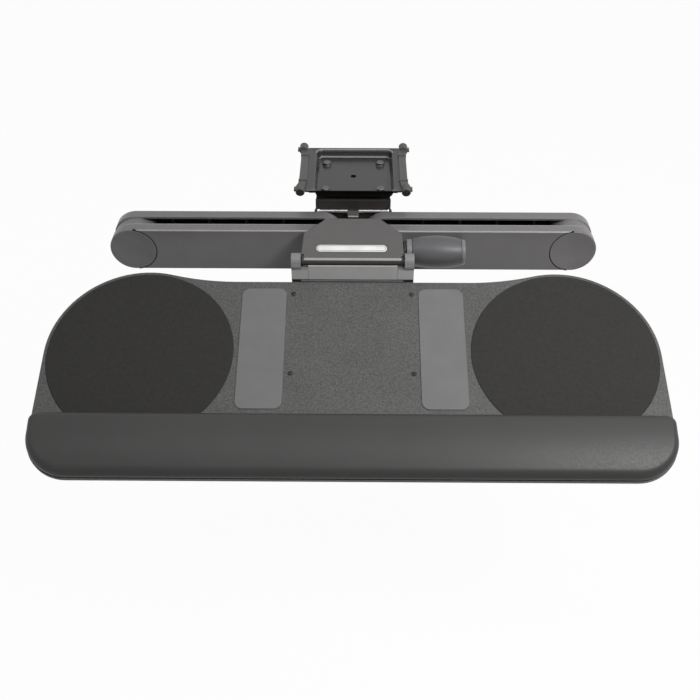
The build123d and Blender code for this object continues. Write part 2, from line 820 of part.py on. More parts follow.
def make_nut_guide():
    """The rail behind the wedge nut, which keeps it from turning."""
    front = shaft_y - nut_forward + nut_width / 2 + joint_gap
    half = hub_half_width - hub_cheek_thick - joint_gap
    depth = hub_plate_front_y - front
    middle = (front + hub_plate_front_y) / 2
    return Pos(0, middle, shaft_z) * Box(2 * half, depth, guide_height)


# Tilt drive

def make_tilt_shaft():
    start = -hub_half_width - shaft_end
    end = knob_collar_x + knob_collar_length + knob_length + 2 * knob_groove + knob_ring_length / 2
    shaft = rod_x(shaft_radius, shaft_y, shaft_z, start, end - start)
    for ring_start in (hub_half_width + joint_gap, -hub_half_width - joint_gap - shaft_ring_thick):
        shaft += rod_x(shaft_ring_radius, shaft_y, shaft_z, ring_start, shaft_ring_thick)
    return shaft


def knob_bore(start, length):
    """The shaft's hole in a piece of the knob."""
    return rod_x(shaft_radius + seat_gap, shaft_y, shaft_z, start - overrun, length + 2 * overrun)


def make_knob_collar():
    collar = rod_x(knob_collar_radius, shaft_y, shaft_z, knob_collar_x, knob_collar_length)
    collar = fillet(collar.edges().group_by(Axis.X)[0], knob_ring_round)
    collar = fillet(collar.edges().group_by(Axis.X)[-1], knob_edge_round)
    return collar - knob_bore(knob_collar_x, knob_collar_length)


def make_knob_grip():
    """A barrel, thicker in its middle, with a small neck at each end."""
    start = knob_collar_x + knob_collar_length
    left = start + knob_groove
    right = left + knob_length
    middle = (left + right) / 2
    neck = knob_groove_radius
    rim = Polyline((start, 0), (start, neck), (left, neck), (left, knob_end_radius))
    belly = ThreePointArc((left, knob_end_radius), (middle, knob_middle_radius), (right, knob_end_radius))
    tail = Polyline((right, knob_end_radius), (right, neck), (right + knob_groove, neck),
                    (right + knob_groove, 0), (start, 0))
    barrel = revolve(make_face(rim.edges() + belly.edges() + tail.edges()), Axis.X)
    barrel = Pos(0, shaft_y, shaft_z) * barrel
    return barrel - knob_bore(start, knob_length + 2 * knob_groove)


def make_knob_end_ring():
    start = knob_collar_x + knob_collar_length + knob_length + 2 * knob_groove
    ring = rod_x(knob_ring_radius, shaft_y, shaft_z, start, knob_ring_length)
    ring = fillet(ring.edges().group_by(Axis.X)[-1], knob_ring_round)
    hole = rod_x(shaft_radius + seat_gap, shaft_y, shaft_z, start - overrun, knob_ring_length / 2 + overrun)
    return ring - hole


def make_tilt_nut():
    """A wedge on the shaft: its underside lowers the heel as it travels."""
    at_heel = shaft_z - nut_below_shaft
    edge = -heel_pad_length / 2
    outline = [
        (nut_left_x, shaft_z + nut_above_shaft), (nut_right_x, shaft_z + nut_above_shaft),
        (nut_right_x, at_heel + wedge_slope * (nut_right_x - edge)),
        (nut_left_x, at_heel + wedge_slope * (nut_left_x - edge)),
    ]
    front = shaft_y - nut_forward - nut_width / 2
    block = upright(polygon(outline), front, nut_width)
    length = nut_right_x - nut_left_x + 2 * overrun
    return block - rod_x(shaft_radius + joint_gap, shaft_y, shaft_z, nut_left_x - overrun, length)


# Tray, drawn level round the hinge axis and then tilted into place

def run_y(run):
    """The place along the tray, counted forward from the board's rear edge."""
    return -hinge_behind_board - run


def lean_point(along, back):
    """A point on the leaning panel: down along it, and back from its face."""
    lean = radians(panel_lean_deg)
    foot_y = -panel_face_offset * cos(lean)
    foot_z = panel_face_offset * sin(lean)
    y = foot_y - along * sin(lean) + back * cos(lean)
    z = foot_z - along * cos(lean) - back * sin(lean)
    return (y, z)


def lean_plate(top, bottom, front, thick, left, width):
    """A plate that lies along the leaning panel."""
    outline = polygon([
        lean_point(top, front), lean_point(top, front + thick),
        lean_point(bottom, front + thick), lean_point(bottom, front),
    ])
    return across(outline, left, width)


def make_hinge_panel():
    half = panel_half_width
    panel = lean_plate(panel_top_along, panel_bottom_along, 0, panel_sheet, -half, 2 * half)
    return fillet(panel.edges().filter_by(Axis.X).group_by(Axis.Z)[-1], panel_edge_round)


def make_tray_bracket():
    base_low = board_bottom - bracket_sheet
    outer = ear_inner_x + ear_thick
    foot_front = panel_sheet
    lean = radians(panel_lean_deg)
    down_to_base = (panel_face_offset * sin(lean) - panel_sheet * sin(lean) - base_low) / cos(lean)
    riser = lean_plate(riser_top_along, down_to_base, foot_front, riser_sheet, -outer, 2 * outer)
    base_rear = lean_point(down_to_base, foot_front + riser_sheet)[0]
    base_front = run_y(bracket_reach)
    base_mid = (base_front + base_rear) / 2
    base_plan = Pos(0, base_mid) * Rectangle(2 * bracket_half_width, base_rear - base_front)
    base = flat(base_plan, base_low, bracket_sheet)
    base = fillet(base.edges().filter_by(Axis.Z).group_by(Axis.Y)[0], bracket_rear_corner)
    bracket = riser + base
    foot_left = panel_half_width + panel_seam
    foot = lean_plate(foot_top_along, panel_bottom_along, 0, panel_sheet, foot_left, outer - foot_left)
    foot += lean_plate(foot_top_along, riser_top_along + overrun, panel_sheet, riser_sheet, ear_inner_x, ear_thick)
    low_front = lean_point(panel_bottom_along, 0)
    low_back = lean_point(down_to_base, foot_front + riser_sheet)
    cheek = Circle(ear_radius) + polygon([
        lean_point(0, 0), low_front, (low_front[0], base_low), (low_back[0], base_low), (ear_radius / 2, 0),
    ])
    behind_board = flat(Pos(0, run_y(0) - bracket_reach / 2 + joint_gap)
                        * Rectangle(4 * bracket_half_width, bracket_reach), board_bottom, board_thick)
    ear = across(cheek, ear_inner_x, ear_thick) - behind_board
    for side in both_sides(foot + ear):
        bracket += side
    bracket -= rod_x(hinge_pin_radius + running_gap, 0, 0, -outer - overrun, 2 * (outer + overrun))
    bracket += make_heel()
    for x, run in tray_screw_places():
        hole = Pos(x, run_y(run)) * Circle(tray_screw_radius + seat_gap)
        bracket -= flat(hole, base_low - overrun, bracket_sheet + 2 * overrun)
    return bracket


def make_heel():
    """The arm behind the riser, whose round pad the wedge nut holds down."""
    turn = radians(tray_tilt_deg)
    pad_y = heel_back * cos(turn) - heel_drop * sin(turn)
    pad_z = -heel_back * sin(turn) - heel_drop * cos(turn)
    pad = rod_x(heel_pad_radius, pad_y, pad_z, -heel_pad_length / 2, heel_pad_length)
    root_y, root_z = lean_point(panel_bottom_along - riser_sheet, panel_sheet + riser_sheet / 2)
    angle = atan2(pad_z - root_z, pad_y - root_y)
    side_y = -sin(angle) * heel_arm_thick / 2
    side_z = cos(angle) * heel_arm_thick / 2
    arm = across(polygon([
        (root_y + side_y, root_z + side_z), (pad_y + side_y, pad_z + side_z),
        (pad_y - side_y, pad_z - side_z), (root_y - side_y, root_z - side_z),
    ]), -heel_pad_length / 2, heel_pad_length)
    web_y = (pad_y + root_y) / 2
    web_z = (pad_z + root_z) / 2
    web = across(polygon([
        (root_y + side_y, root_z + side_z), (web_y + side_y, web_z + side_z),
        (web_y - side_y, web_z - side_z), (root_y - side_y, root_z - side_z),
    ]), -heel_web_half_width, 2 * heel_web_half_width)
    return arm + web + pad


def board_face():
    """The board's plan: two round lobes, a shallow dip between, round front corners."""
    lobe_y = run_y(lobe_radius - lobe_reach)
    dip_y = run_y(board_dip)
    gap_x = lobe_x - dip_end_x
    rise = dip_y - lobe_y
    dip_radius = (gap_x ** 2 + rise ** 2 - lobe_radius ** 2) / (2 * (lobe_radius - rise))
    dip_centre = (dip_end_x, dip_y + dip_radius)
    turn = degrees(atan2(dip_centre[1] - lobe_y, dip_centre[0] - lobe_x))
    front = run_y(board_depth)
    corner_x = board_half_width - board_corner_radius
    corner_y = front + board_corner_radius
    right = [
        Line((0, dip_y), (dip_end_x, dip_y)),
        CenterArc(dip_centre, dip_radius, 270, turn - 90),
        CenterArc((lobe_x, lobe_y), lobe_radius, 0, turn),
        Line((board_half_width, lobe_y), (board_half_width, corner_y)),
        CenterArc((corner_x, corner_y), board_corner_radius, 270, 90),
        Line((corner_x, front), (0, front)),
    ]
    left = [mirror(edge, Plane.YZ) for edge in right]
    return make_face(right + left)


def pad_face(grow):
    """The right-hand mouse pad: a disc on the lobe, cut straight by the palm rest."""
    lobe_y = run_y(lobe_radius - lobe_reach)
    disc = Pos(lobe_x, lobe_y) * Circle(pad_radius + grow)
    behind = Pos(lobe_x, run_y(pad_front) - pad_radius - grow) * Rectangle(4 * pad_radius, 2 * pad_radius)
    return disc - behind


def grip_face(grow):
    """The right-hand grip strip."""
    plan = RectangleRounded(grip_width + 2 * grow, grip_length + 2 * grow, grip_corner)
    return Pos(grip_centre_x, run_y(grip_centre_run)) * plan


def tray_screw_places():
    """The four screws through the board, as X and run."""
    runs = (tray_screw_first_run, tray_screw_first_run + tray_screw_spacing_run)
    return [(side * tray_screw_x, run) for side in (-1, 1) for run in runs]


def make_tray_board():
    board = flat(board_face(), board_bottom, board_thick)
    board = fillet(board.edges().group_by(Axis.Z)[-1], board_edge_round)
    for side in both_sides(flat(pad_face(seat_gap), board_top - pad_inset, board_thick)):
        board -= side
    for side in both_sides(flat(grip_face(seat_gap), board_top - grip_inset, board_thick)):
        board -= side
    for x, run in tray_screw_places():
        hole = Pos(x, run_y(run)) * Circle(tray_screw_radius + seat_gap)
        board -= flat(hole, board_bottom - overrun, board_thick + 2 * overrun)
    return board


def make_mouse_pad():
    pad = flat(pad_face(0), board_top - pad_inset, pad_thick)
    return fillet(pad.edges().group_by(Axis.Z)[-1], pad_edge_round)


def make_grip():
    grip = flat(grip_face(0), board_top - grip_inset, grip_thick)
    return fillet(grip.edges().group_by(Axis.Z)[-1], grip_edge_round)


def make_tray_screws():
    screws = []
    for x, run in tray_screw_places():
        length = board_thick + bracket_sheet + tray_screw_tail
        shank = flat(Circle(tray_screw_radius), board_top - length, length)
        head = flat(Circle(tray_screw_head_radius), board_top, tray_screw_head_height)
        head = fillet(head.edges().group_by(Axis.Z)[-1], tray_screw_head_round)
        screws.append(Pos(x, run_y(run), 0) * (shank + head))
    return group(screws)


def make_tray_nuts():
    nuts = []
    top = board_bottom - bracket_sheet
    for x, run in tray_screw_places():
        plan = RegularPolygon(tray_nut_width / 2, 6, major_radius=False) - Circle(tray_screw_radius + seat_gap)
        nuts.append(flat(Pos(x, run_y(run)) * plan, top - tray_nut_height, tray_nut_height))
    return group(nuts)


def palm_face(inset):
    """The palm rest's plan, which follows the board's front corners."""
    front = run_y(board_depth + palm_front_over) + inset
    rear = run_y(palm_rear) - inset
    half = board_half_width - inset
    corner = board_corner_radius - inset
    right = [
        Line((0, rear), (half, rear)),
        Line((half, rear), (half, front + corner)),
        CenterArc((half - corner, front + corner), corner, 270, 90),
        Line((half - corner, front), (0, front)),
    ]
    left = [mirror(edge, Plane.YZ) for edge in right]
    return make_face(right + left)


def make_palm_base():
    return flat(palm_face(palm_base_inset), palm_base_bottom, palm_base_thick)


def make_palm_rest():
    """A crowned cushion with a round front, round ends and a tucked lower edge."""
    block = flat(palm_face(0), palm_bottom, palm_height - palm_base_thick)
    crown_z = board_top + palm_height - palm_crown_radius
    crown = rod_x(palm_crown_radius, run_y(palm_crown_run), crown_z, -board_half_width - overrun,
                  2 * (board_half_width + overrun))
    block = block & crown
    top = block.faces().filter_by(GeomType.CYLINDER).sort_by(SortBy.AREA)[-1]
    rear = top.edges().group_by(Axis.Y)[-1]
    rest = [e for e in top.edges() if e not in rear]
    block = fillet(rest, palm_front_round)
    rear_edges = [e for e in block.edges().filter_by(Axis.X) if e.center().Z > palm_bottom + palm_tuck_round]
    block = fillet(ShapeList(rear_edges).group_by(Axis.Y)[-1], palm_rear_round)
    return fillet(block.edges().group_by(Axis.Z)[0], palm_tuck_round)


# Every sub-part, by the name of its file

def place_tray(shape):
    """From the level drawing to the tilted tray."""
    return tray_place.location * shape


def main():
    os.makedirs("parts", exist_ok=True)

    save("trolley_plate", make_trolley_plate())
    glide = make_glide()
    save("glide_right", glide)
    save("glide_left", mirror(glide, Plane.YZ))
    save("trolley_bolts", group(make_trolley_bolt(x, y) for x, y in bolt_places()))
    save("swivel_upper_race", make_upper_race())

    save("swivel_lower_race", make_lower_race())
    save("swivel_balls", make_swivel_balls())
    save("neck_bracket", make_neck_bracket())
    save("neck_rod", make_neck_rod())
    save("rod_hook", make_rod_hook())
    rear_tail = rear_arm_front_y - gear_thick - joint_gap - clip_thick - pin_tail
    save("rear_pivot_pins", make_pivot_pins(rear_tail, neck_front_y + neck_sheet - rear_tail))
    save("rear_pivot_clips", make_pivot_clips(rear_arm_front_y - gear_thick - joint_gap - clip_thick))

    rear_arm = make_rear_arm()
    save("rear_arm_right", rear_arm)
    save("rear_arm_left", mirror(rear_arm, Plane.YZ))
    save("rear_gear_right", make_gear(False, 0.5, bore_radius))
    save("rear_gear_left", mirror(make_gear(False, 0, bore_radius), Plane.YZ))
    save("front_arm_left", mirror(make_front_arm(bore_radius), Plane.YZ))
    save("front_arm_right", make_front_arm(open_bore_radius))
    save("front_gear_left", mirror(make_gear(True, 0, bore_radius), Plane.YZ))
    save("front_gear_right", make_gear(True, 0.5, open_bore_radius))
    pairs = {
        "rear_gear_screws": make_gear_screws(False),
        "front_gear_screws": make_gear_screws(True),
        "knuckle_pin": make_knuckle_pin(),
        "lift_spring": make_lift_spring(),
        "front_cap": make_front_cap(),
    }
    for name, shape in pairs.items():
        save(name + "_right", shape)
        save(name + "_left", mirror(shape, Plane.YZ))

    save("hub_plate", make_hub_plate())
    front_tail = front_arm_back_y + gear_thick + joint_gap + clip_thick + pin_tail
    save("front_pivot_pins", make_pivot_pins(hub_plate_front_y, front_tail - hub_plate_front_y))
    save("front_pivot_clips", make_pivot_clips(front_arm_back_y + gear_thick + joint_gap))
    save("cover_plate", make_cover_plate())
    save("gauge_strip", make_gauge_strip())
    save("hinge_pin", make_hinge_pin())
    save("hinge_bushes", make_hinge_bushes())
    save("nut_guide", make_nut_guide())

    save("tilt_shaft", make_tilt_shaft())
    save("knob_collar", make_knob_collar())
    save("knob_grip", make_knob_grip())
    save("knob_end_ring", make_knob_end_ring())
    save("tilt_nut", make_tilt_nut())

    save("tray_bracket", place_tray(make_tray_bracket()))
    save("hinge_panel", place_tray(make_hinge_panel()))
    save("tray_board", place_tray(make_tray_board()))
    save("tray_screws", place_tray(make_tray_screws()))
    save("tray_nuts", place_tray(make_tray_nuts()))
    for name, shape in (("mouse_pad", make_mouse_pad()), ("grip", make_grip())):
        save(name + "_right", place_tray(shape))
        save(name + "_left", place_tray(mirror(shape, Plane.YZ)))
    save("palm_base", place_tray(make_palm_base()))
    save("palm_rest", place_tray(make_palm_rest()))


if __name__ == "__main__":
    main()
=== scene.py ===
import json
import math

import bmesh
import bpy
from mathutils import Matrix, Vector


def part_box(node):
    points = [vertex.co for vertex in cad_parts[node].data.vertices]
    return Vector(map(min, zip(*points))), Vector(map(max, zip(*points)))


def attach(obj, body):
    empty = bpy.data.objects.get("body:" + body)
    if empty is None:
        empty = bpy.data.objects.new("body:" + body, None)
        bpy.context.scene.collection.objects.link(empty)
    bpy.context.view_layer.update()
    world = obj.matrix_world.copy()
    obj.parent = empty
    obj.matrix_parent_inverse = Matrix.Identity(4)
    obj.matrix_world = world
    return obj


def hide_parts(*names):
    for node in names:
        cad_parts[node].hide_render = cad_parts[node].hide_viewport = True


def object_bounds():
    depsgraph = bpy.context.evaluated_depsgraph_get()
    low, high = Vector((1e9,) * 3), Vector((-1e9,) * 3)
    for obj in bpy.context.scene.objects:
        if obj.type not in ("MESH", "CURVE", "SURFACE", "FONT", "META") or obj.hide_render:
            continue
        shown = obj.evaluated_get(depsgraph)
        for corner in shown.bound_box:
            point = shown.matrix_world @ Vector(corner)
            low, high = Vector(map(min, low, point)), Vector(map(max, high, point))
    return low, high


bl_info = {
    "name": "Keyboard tray looks",
    "version": (1, 0, 0),
    "blender": (4, 5, 0),
    "location": "View3D > Sidebar > Tray",
    "description": "Fixings, soft pieces, finishes and stage of a keyboard tray on a lifting arm",
    "category": "Object",
}

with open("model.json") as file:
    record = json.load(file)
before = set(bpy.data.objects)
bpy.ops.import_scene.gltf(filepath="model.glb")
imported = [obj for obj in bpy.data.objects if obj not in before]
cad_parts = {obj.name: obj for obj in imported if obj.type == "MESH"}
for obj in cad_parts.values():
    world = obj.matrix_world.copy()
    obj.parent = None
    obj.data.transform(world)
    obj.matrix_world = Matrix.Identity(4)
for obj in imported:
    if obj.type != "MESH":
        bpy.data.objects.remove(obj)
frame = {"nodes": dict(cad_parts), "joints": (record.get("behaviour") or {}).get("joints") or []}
NODES = frame["nodes"]
CAD_BOX = [list(corner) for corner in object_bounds()]
JOINTS = {joint["name"]: joint for joint in frame["joints"]}
HINGE = Vector(JOINTS["tray_tilt"]["pos_m"])
SHAFT = Vector(JOINTS["knob_turn"]["pos_m"])
PIVOT_Z = JOINTS["arm_lift"]["pos_m"][2]
KNUCKLE_X = JOINTS["right_knuckle"]["pos_m"][0]
ARM_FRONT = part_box("front_arm_right")[0].y
REAR_ARM_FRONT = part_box("rear_arm_right")[0].y
ARM_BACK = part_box("rear_arm_right")[1].y

# The CAD's own sizes, where its boxes and joints don't give them
TRAY_SLOPE = math.radians(20.0)
TRAY_PLACE = Matrix.Translation(HINGE) @ Matrix.Rotation(TRAY_SLOPE, 4, "X")
BOARD_REAR = 0.0151
BOARD_TOP = -0.0181
ARM_HEIGHT = 0.056
ARM_WALL = 0.003
COVER_SLOPE = math.radians(13.76)
PAN_FLOOR = -0.010

ACROSS, BACK, UP = Vector((1, 0, 0)), Vector((0, 1, 0)), Vector((0, 0, 1))
SIDES = ((-1, "left"), (1, "right"))


# Small helpers for meshes

def spread(first, last, steps):
    """Evenly spaced values, with both ends."""
    return [first + (last - first) * k / steps for k in range(steps + 1)]


def tray_point(x, run, up):
    """A place on the tilted tray: run is counted forward from the board's rear edge."""
    return TRAY_PLACE @ Vector((x, -BOARD_REAR - run, BOARD_TOP + up))


def new_piece(name, mesh):
    """A mesh as an object at the origin."""
    piece = bpy.data.objects.new(name, mesh)
    bpy.context.scene.collection.objects.link(piece)
    return piece


def write_mesh(shape, mesh, sharp):
    """A bmesh as a smooth mesh, its faces outwards; edges over sharp degrees, if given, stay sharp."""
    bmesh.ops.recalc_face_normals(shape, faces=shape.faces)
    shape.normal_update()
    for face in shape.faces:
        face.smooth = True
    for edge in shape.edges:
        if sharp is not None and len(edge.link_faces) == 2:
            edge.smooth = edge.calc_face_angle(0.0) < math.radians(sharp)
    shape.to_mesh(mesh)
    shape.free()


def from_bmesh(name, shape, *finishes, sharp=None):
    """A bmesh as a piece, with its doubles merged and its finishes in the order of their slots."""
    bmesh.ops.remove_doubles(shape, verts=shape.verts, dist=1e-6)
    mesh = bpy.data.meshes.new(name)
    write_mesh(shape, mesh, sharp)
    for kind in finishes:
        mesh.materials.append(finish(kind))
    return new_piece(name, mesh)


def loft(shape, rings, caps=True):
    """Quads between rings of equal length, with a face over the first and the last ring."""
    made = [[shape.verts.new(point) for point in ring] for ring in rings]
    count = len(made[0])
    for low, high in zip(made, made[1:]):
        for i in range(count):
            j = (i + 1) % count
            shape.faces.new((low[i], low[j], high[j], high[i]))
    if caps:
        shape.faces.new(list(reversed(made[0])))
        shape.faces.new(made[-1])


def mark_faces(shape, first, last, slot):
    """Gives the faces from first up to last another material slot."""
    shape.faces.ensure_lookup_table()
    for face in shape.faces[first:last]:
        face.material_index = slot


def rounded_path(points, radii, steps):
    """A line through points on a plane, with its inner corners rounded."""
    path = [Vector(points[0])]
    for i in range(1, len(points) - 1):
        corner = Vector(points[i])
        before = (Vector(points[i - 1]) - corner).normalized()
        after = (Vector(points[i + 1]) - corner).normalized()
        half = before.angle(after) / 2
        reach = radii[i - 1] / math.tan(half)
        start = corner + before * reach
        end = corner + after * reach
        centre = corner + (before + after).normalized() * (radii[i - 1] / math.sin(half))
        for share in spread(0.0, 1.0, steps):
            spoke = (start - centre).lerp(end - centre, share).normalized()
            path.append(centre + spoke * radii[i - 1])
    path.append(Vector(points[-1]))
    return path


def corner_ring(half_x, half_y, corner, z=0.0, corner_steps=8, side_steps=6):
    """A rectangle with round corners as a ring of points."""
    ring = []
    for quarter in range(4):
        sign_x = 1 if quarter in (0, 3) else -1
        sign_y = 1 if quarter in (0, 1) else -1
        centre = Vector((sign_x * (half_x - corner), sign_y * (half_y - corner)))
        arc = []
        for turn in spread(math.pi / 2 * quarter, math.pi / 2 * (quarter + 1), corner_steps):
            arc.append(centre + corner * Vector((math.cos(turn), math.sin(turn))))
        if ring:
            ring += [ring[-1].lerp(arc[0], k / side_steps) for k in range(1, side_steps)]
        ring += arc
    ring += [ring[-1].lerp(ring[0], k / side_steps) for k in range(1, side_steps)]
    return [Vector((point.x, point.y, z)) for point in ring]


def turned(shape, profile, origin, axis, around):
    """A turned shape: profile pairs are (along the axis, radius)."""
    side = axis.orthogonal().normalized()
    other = axis.cross(side)
    rings = []
    for along, radius in profile:
        ring = []
        for turn in spread(0.0, 2 * math.pi, around)[:-1]:
            spoke = math.cos(turn) * side + math.sin(turn) * other
            ring.append(Vector(origin) + axis * along + spoke * max(radius, 1e-5))
        rings.append(ring)
    loft(shape, rings)


def disc(start, end, radius, edge):
    """The profile of a disc with chamfered edges."""
    return [(start, radius - edge), (start + edge, radius), (end - edge, radius), (end, radius - edge)]


def band(shape, centre, start, axis, degrees, radii, ends, steps):
    """A strip bent round an axis, from the direction start upwards, between two radii and two ends."""
    (inner, outer), (first, last) = radii, ends
    rings = []
    for turn in map(math.radians, spread(*degrees, steps)):
        spoke = math.cos(turn) * start + math.sin(turn) * UP
        rings.append([centre + spoke * reach + axis * along for reach, along in (
            (inner, first), (outer, first), (outer, last), (inner, last))])
    loft(shape, rings)


def block(shape, low, high, bevel):
    """A box with bevelled edges."""
    made = bmesh.ops.create_cube(shape, size=1.0)["verts"]
    for vert in made:
        for k in range(3):
            vert.co[k] = low[k] if vert.co[k] < 0 else high[k]
    edges = list({edge for vert in made for edge in vert.link_edges})
    bmesh.ops.bevel(shape, geom=edges, offset=bevel, segments=2, affect="EDGES")


# Node trees

def emptied(owner):
    """The node tree of a material or a world, without its nodes."""
    owner.use_nodes = True
    owner.node_tree.nodes.clear()
    return owner.node_tree


class Nodes:
    """A node tree that is built a node at a time."""

    def __init__(self, tree):
        self.tree = tree

    def put(self, socket, value):
        """A link from another socket, or a plain value."""
        if isinstance(value, bpy.types.NodeSocket):
            self.tree.links.new(value, socket)
        elif socket.type == "RGBA":
            socket.default_value = (*value[:3], 1.0)
        else:
            socket.default_value = value

    def node(self, kind, inputs=None, **settings):
        made = self.tree.nodes.new(kind)
        for key, value in settings.items():
            setattr(made, key, value)
        for key, value in (inputs or {}).items():
            self.put(made.inputs[key], value)
        return made

    def maths(self, operation, first, second=0.0):
        return self.node("ShaderNodeMath", {0: first, 1: second}, operation=operation).outputs[0]

    def times(self, first, *others):
        for other in others:
            first = self.maths("MULTIPLY", first, other)
        return first

    def seen_rays(self):
        """1 for what the camera sees, also by gloss or through clear pieces, and 0 for all other light."""
        rays = self.node("ShaderNodeLightPath").outputs
        seen = self.maths("MAXIMUM", rays["Is Camera Ray"], rays["Is Glossy Ray"])
        return self.maths("MAXIMUM", seen, rays["Is Transmission Ray"])

    def mixed(self, share, first, second):
        """A mix of two shader nodes."""
        return self.node("ShaderNodeMixShader", {0: share, 1: first.outputs[0], 2: second.outputs[0]})


class Shade(Nodes):
    """One material with a Principled shader."""

    def __init__(self, name):
        self.material = bpy.data.materials.new(name)
        super().__init__(emptied(self.material))
        self.shader = self.node("ShaderNodeBsdfPrincipled")
        self.node("ShaderNodeOutputMaterial", {"Surface": self.shader.outputs["BSDF"]})
        coordinates = self.node("ShaderNodeTexCoord").outputs
        self.place, self.facing = coordinates["Object"], coordinates["Normal"]

    def set(self, **values):
        for key, value in values.items():
            self.put(self.shader.inputs[key.replace("_", " ")], value)

    def base(self):
        """What is linked to the base colour so far."""
        return self.shader.inputs["Base Color"].links[0].from_socket

    def axes(self):
        """The three coordinates of a place, the first one without its sign."""
        parts = self.node("ShaderNodeSeparateXYZ", {"Vector": self.place}).outputs
        return self.maths("ABSOLUTE", parts["X"]), parts["Y"], parts["Z"]

    def dot(self, first, second):
        made = self.node("ShaderNodeVectorMath", {0: first, 1: second}, operation="DOT_PRODUCT")
        return made.outputs["Value"]

    def noise(self, size, detail=3.0, roughness=0.55, stretch=None):
        vector = self.place
        if stretch:
            vector = self.node("ShaderNodeMapping", {"Vector": vector, "Scale": stretch}).outputs["Vector"]
        return self.node("ShaderNodeTexNoise", {
            "Vector": vector, "Scale": 1.0 / size, "Detail": detail, "Roughness": roughness,
        }).outputs["Fac"]

    def cells(self, size, feature="F1"):
        return self.node("ShaderNodeTexVoronoi", {"Vector": self.place, "Scale": 1.0 / size},
                         feature=feature).outputs["Distance"]

    def waves(self, size, direction):
        length_at_one = 0.314
        return self.node("ShaderNodeTexWave", {"Vector": self.place, "Scale": length_at_one / size},
                         bands_direction=direction).outputs["Fac"]

    def span(self, value, low, high, to_low=0.0, to_high=1.0):
        """A value carried from one range to another, and held at its ends."""
        return self.node("ShaderNodeMapRange", {
            "Value": value, "From Min": low, "From Max": high, "To Min": to_low, "To Max": to_high,
        }).outputs["Result"]

    def blend(self, share, first, second):
        made = self.node("ShaderNodeMix", data_type="RGBA")
        for socket, value in zip([s for s in made.inputs if s.enabled], (share, first, second)):
            self.put(socket, value)
        return [s for s in made.outputs if s.enabled][0]

    def mottled(self, colour, size, detail, dark, light):
        """The colour, in soft patches from a darker to a lighter share of itself."""
        tone = self.span(self.noise(size, detail), 0.3, 0.7)
        return self.blend(tone, scaled(colour, dark), scaled(colour, light))

    def soft_edges(self, radius):
        """The normal that rounded edges of this radius would have."""
        return self.node("ShaderNodeBevel", {"Radius": radius}, samples=6).outputs["Normal"]

    def edge_share(self, bevel_normal, strength):
        """How near a place is to an edge, from 0 to 1."""
        flat = self.node("ShaderNodeNewGeometry").outputs["Normal"]
        return self.span(self.dot(bevel_normal, flat), 1.0, 0.9, 0.0, strength)

    def bump(self, height, depth, normal=None):
        inputs = {"Height": height, "Distance": depth, "Strength": 1.0}
        if normal is not None:
            inputs["Normal"] = normal
        return self.node("ShaderNodeBump", inputs).outputs["Normal"]


def scaled(colour, share):
    """A colour made lighter or darker."""
    return tuple(min(channel * share, 1.0) for channel in colour[:3])


def paint(shade, colour, gloss=0.36, grain=0.0009, depth=0.000008, mottle=0.05, edge=0.0008, lift=1.2,
          specular=0.4):
    """Paint on metal: fine orange peel, faint uneven tone, and lighter edges, part rubbed wear and part
    painted highlight.
    """
    normal = shade.soft_edges(edge)
    base = shade.mottled(colour, 0.03, 4.0, 1 - mottle, 1 + mottle)
    peel = shade.noise(grain, 2.0)
    shade.set(
        # Lighter edges: part rubbed wear, part painted highlight.
        Base_Color=shade.blend(shade.edge_share(normal, 0.55), base, scaled(colour, lift)),
        Roughness=shade.span(peel, 0.3, 0.7, gloss - 0.05, gloss + 0.07),
        Normal=shade.bump(peel, depth, normal),
        Specular_IOR_Level=specular,
    )


def arm_paint(shade, colour):
    """The arms' paint, with a painted highlight line along the top front edges and painted shade inside the
    channels.
    """
    paint(shade, colour, gloss=0.3, grain=0.0014, depth=0.000006, edge=0.0016, lift=1.5)
    across, y, z = shade.axes()
    top = PIVOT_Z + ARM_HEIGHT / 2
    ceiling = top - ARM_WALL
    front, back = ARM_FRONT + ARM_WALL, ARM_BACK - ARM_WALL
    inner_end, outer_end, fade = 0.034, 0.246, 0.0003
    # Painted shade: the inside of each channel is made nearly black.
    inside = shade.times(
        shade.span(across, inner_end, inner_end + 0.002), shade.span(across, outer_end, outer_end - 0.004),
        shade.span(z, ceiling + 0.0002, ceiling - 0.0002),
        shade.span(y, front - fade, front), shade.span(y, back + fade, back))
    painted_channel_shade = shade.blend(inside, shade.base(), scaled(colour, 0.06))
    near = []
    for face in (ARM_FRONT, REAR_ARM_FRONT):
        gap = shade.maths("ABSOLUTE", shade.maths("SUBTRACT", y, face))
        near.append(shade.span(gap, 0.0018, 0.001))
    # Painted highlight: a bright line along the top front edge of each arm.
    line = shade.times(shade.span(z, top - 0.0016, top - 0.0008), shade.maths("MAXIMUM", *near))
    shade.set(Base_Color=shade.blend(line, painted_channel_shade, scaled(colour, 2.1)))


def ear_paint(shade, colour):
    """The bracket's paint, with the ears darker than the feet as painted light and shade, and dark by the
    board.
    """
    paint(shade, colour, grain=0.001, lift=1.4)
    along = Vector((0.0, math.cos(TRAY_SLOPE), math.sin(TRAY_SLOPE)))
    run = shade.dot(shade.place, along)
    ear_start, board_start = along.dot(HINGE) - 0.0098, along.dot(HINGE) - 0.0139
    # Painted light and shade: the ears take a darker share of the colour than the feet.
    on_ears = shade.span(run, ear_start, ear_start + 0.002)
    upper = shade.blend(on_ears, shade.base(), scaled(colour, 0.46))
    under_board = shade.span(run, board_start, board_start - 0.0002)
    shade.set(Base_Color=shade.blend(under_board, upper, scaled(colour, 0.16)))


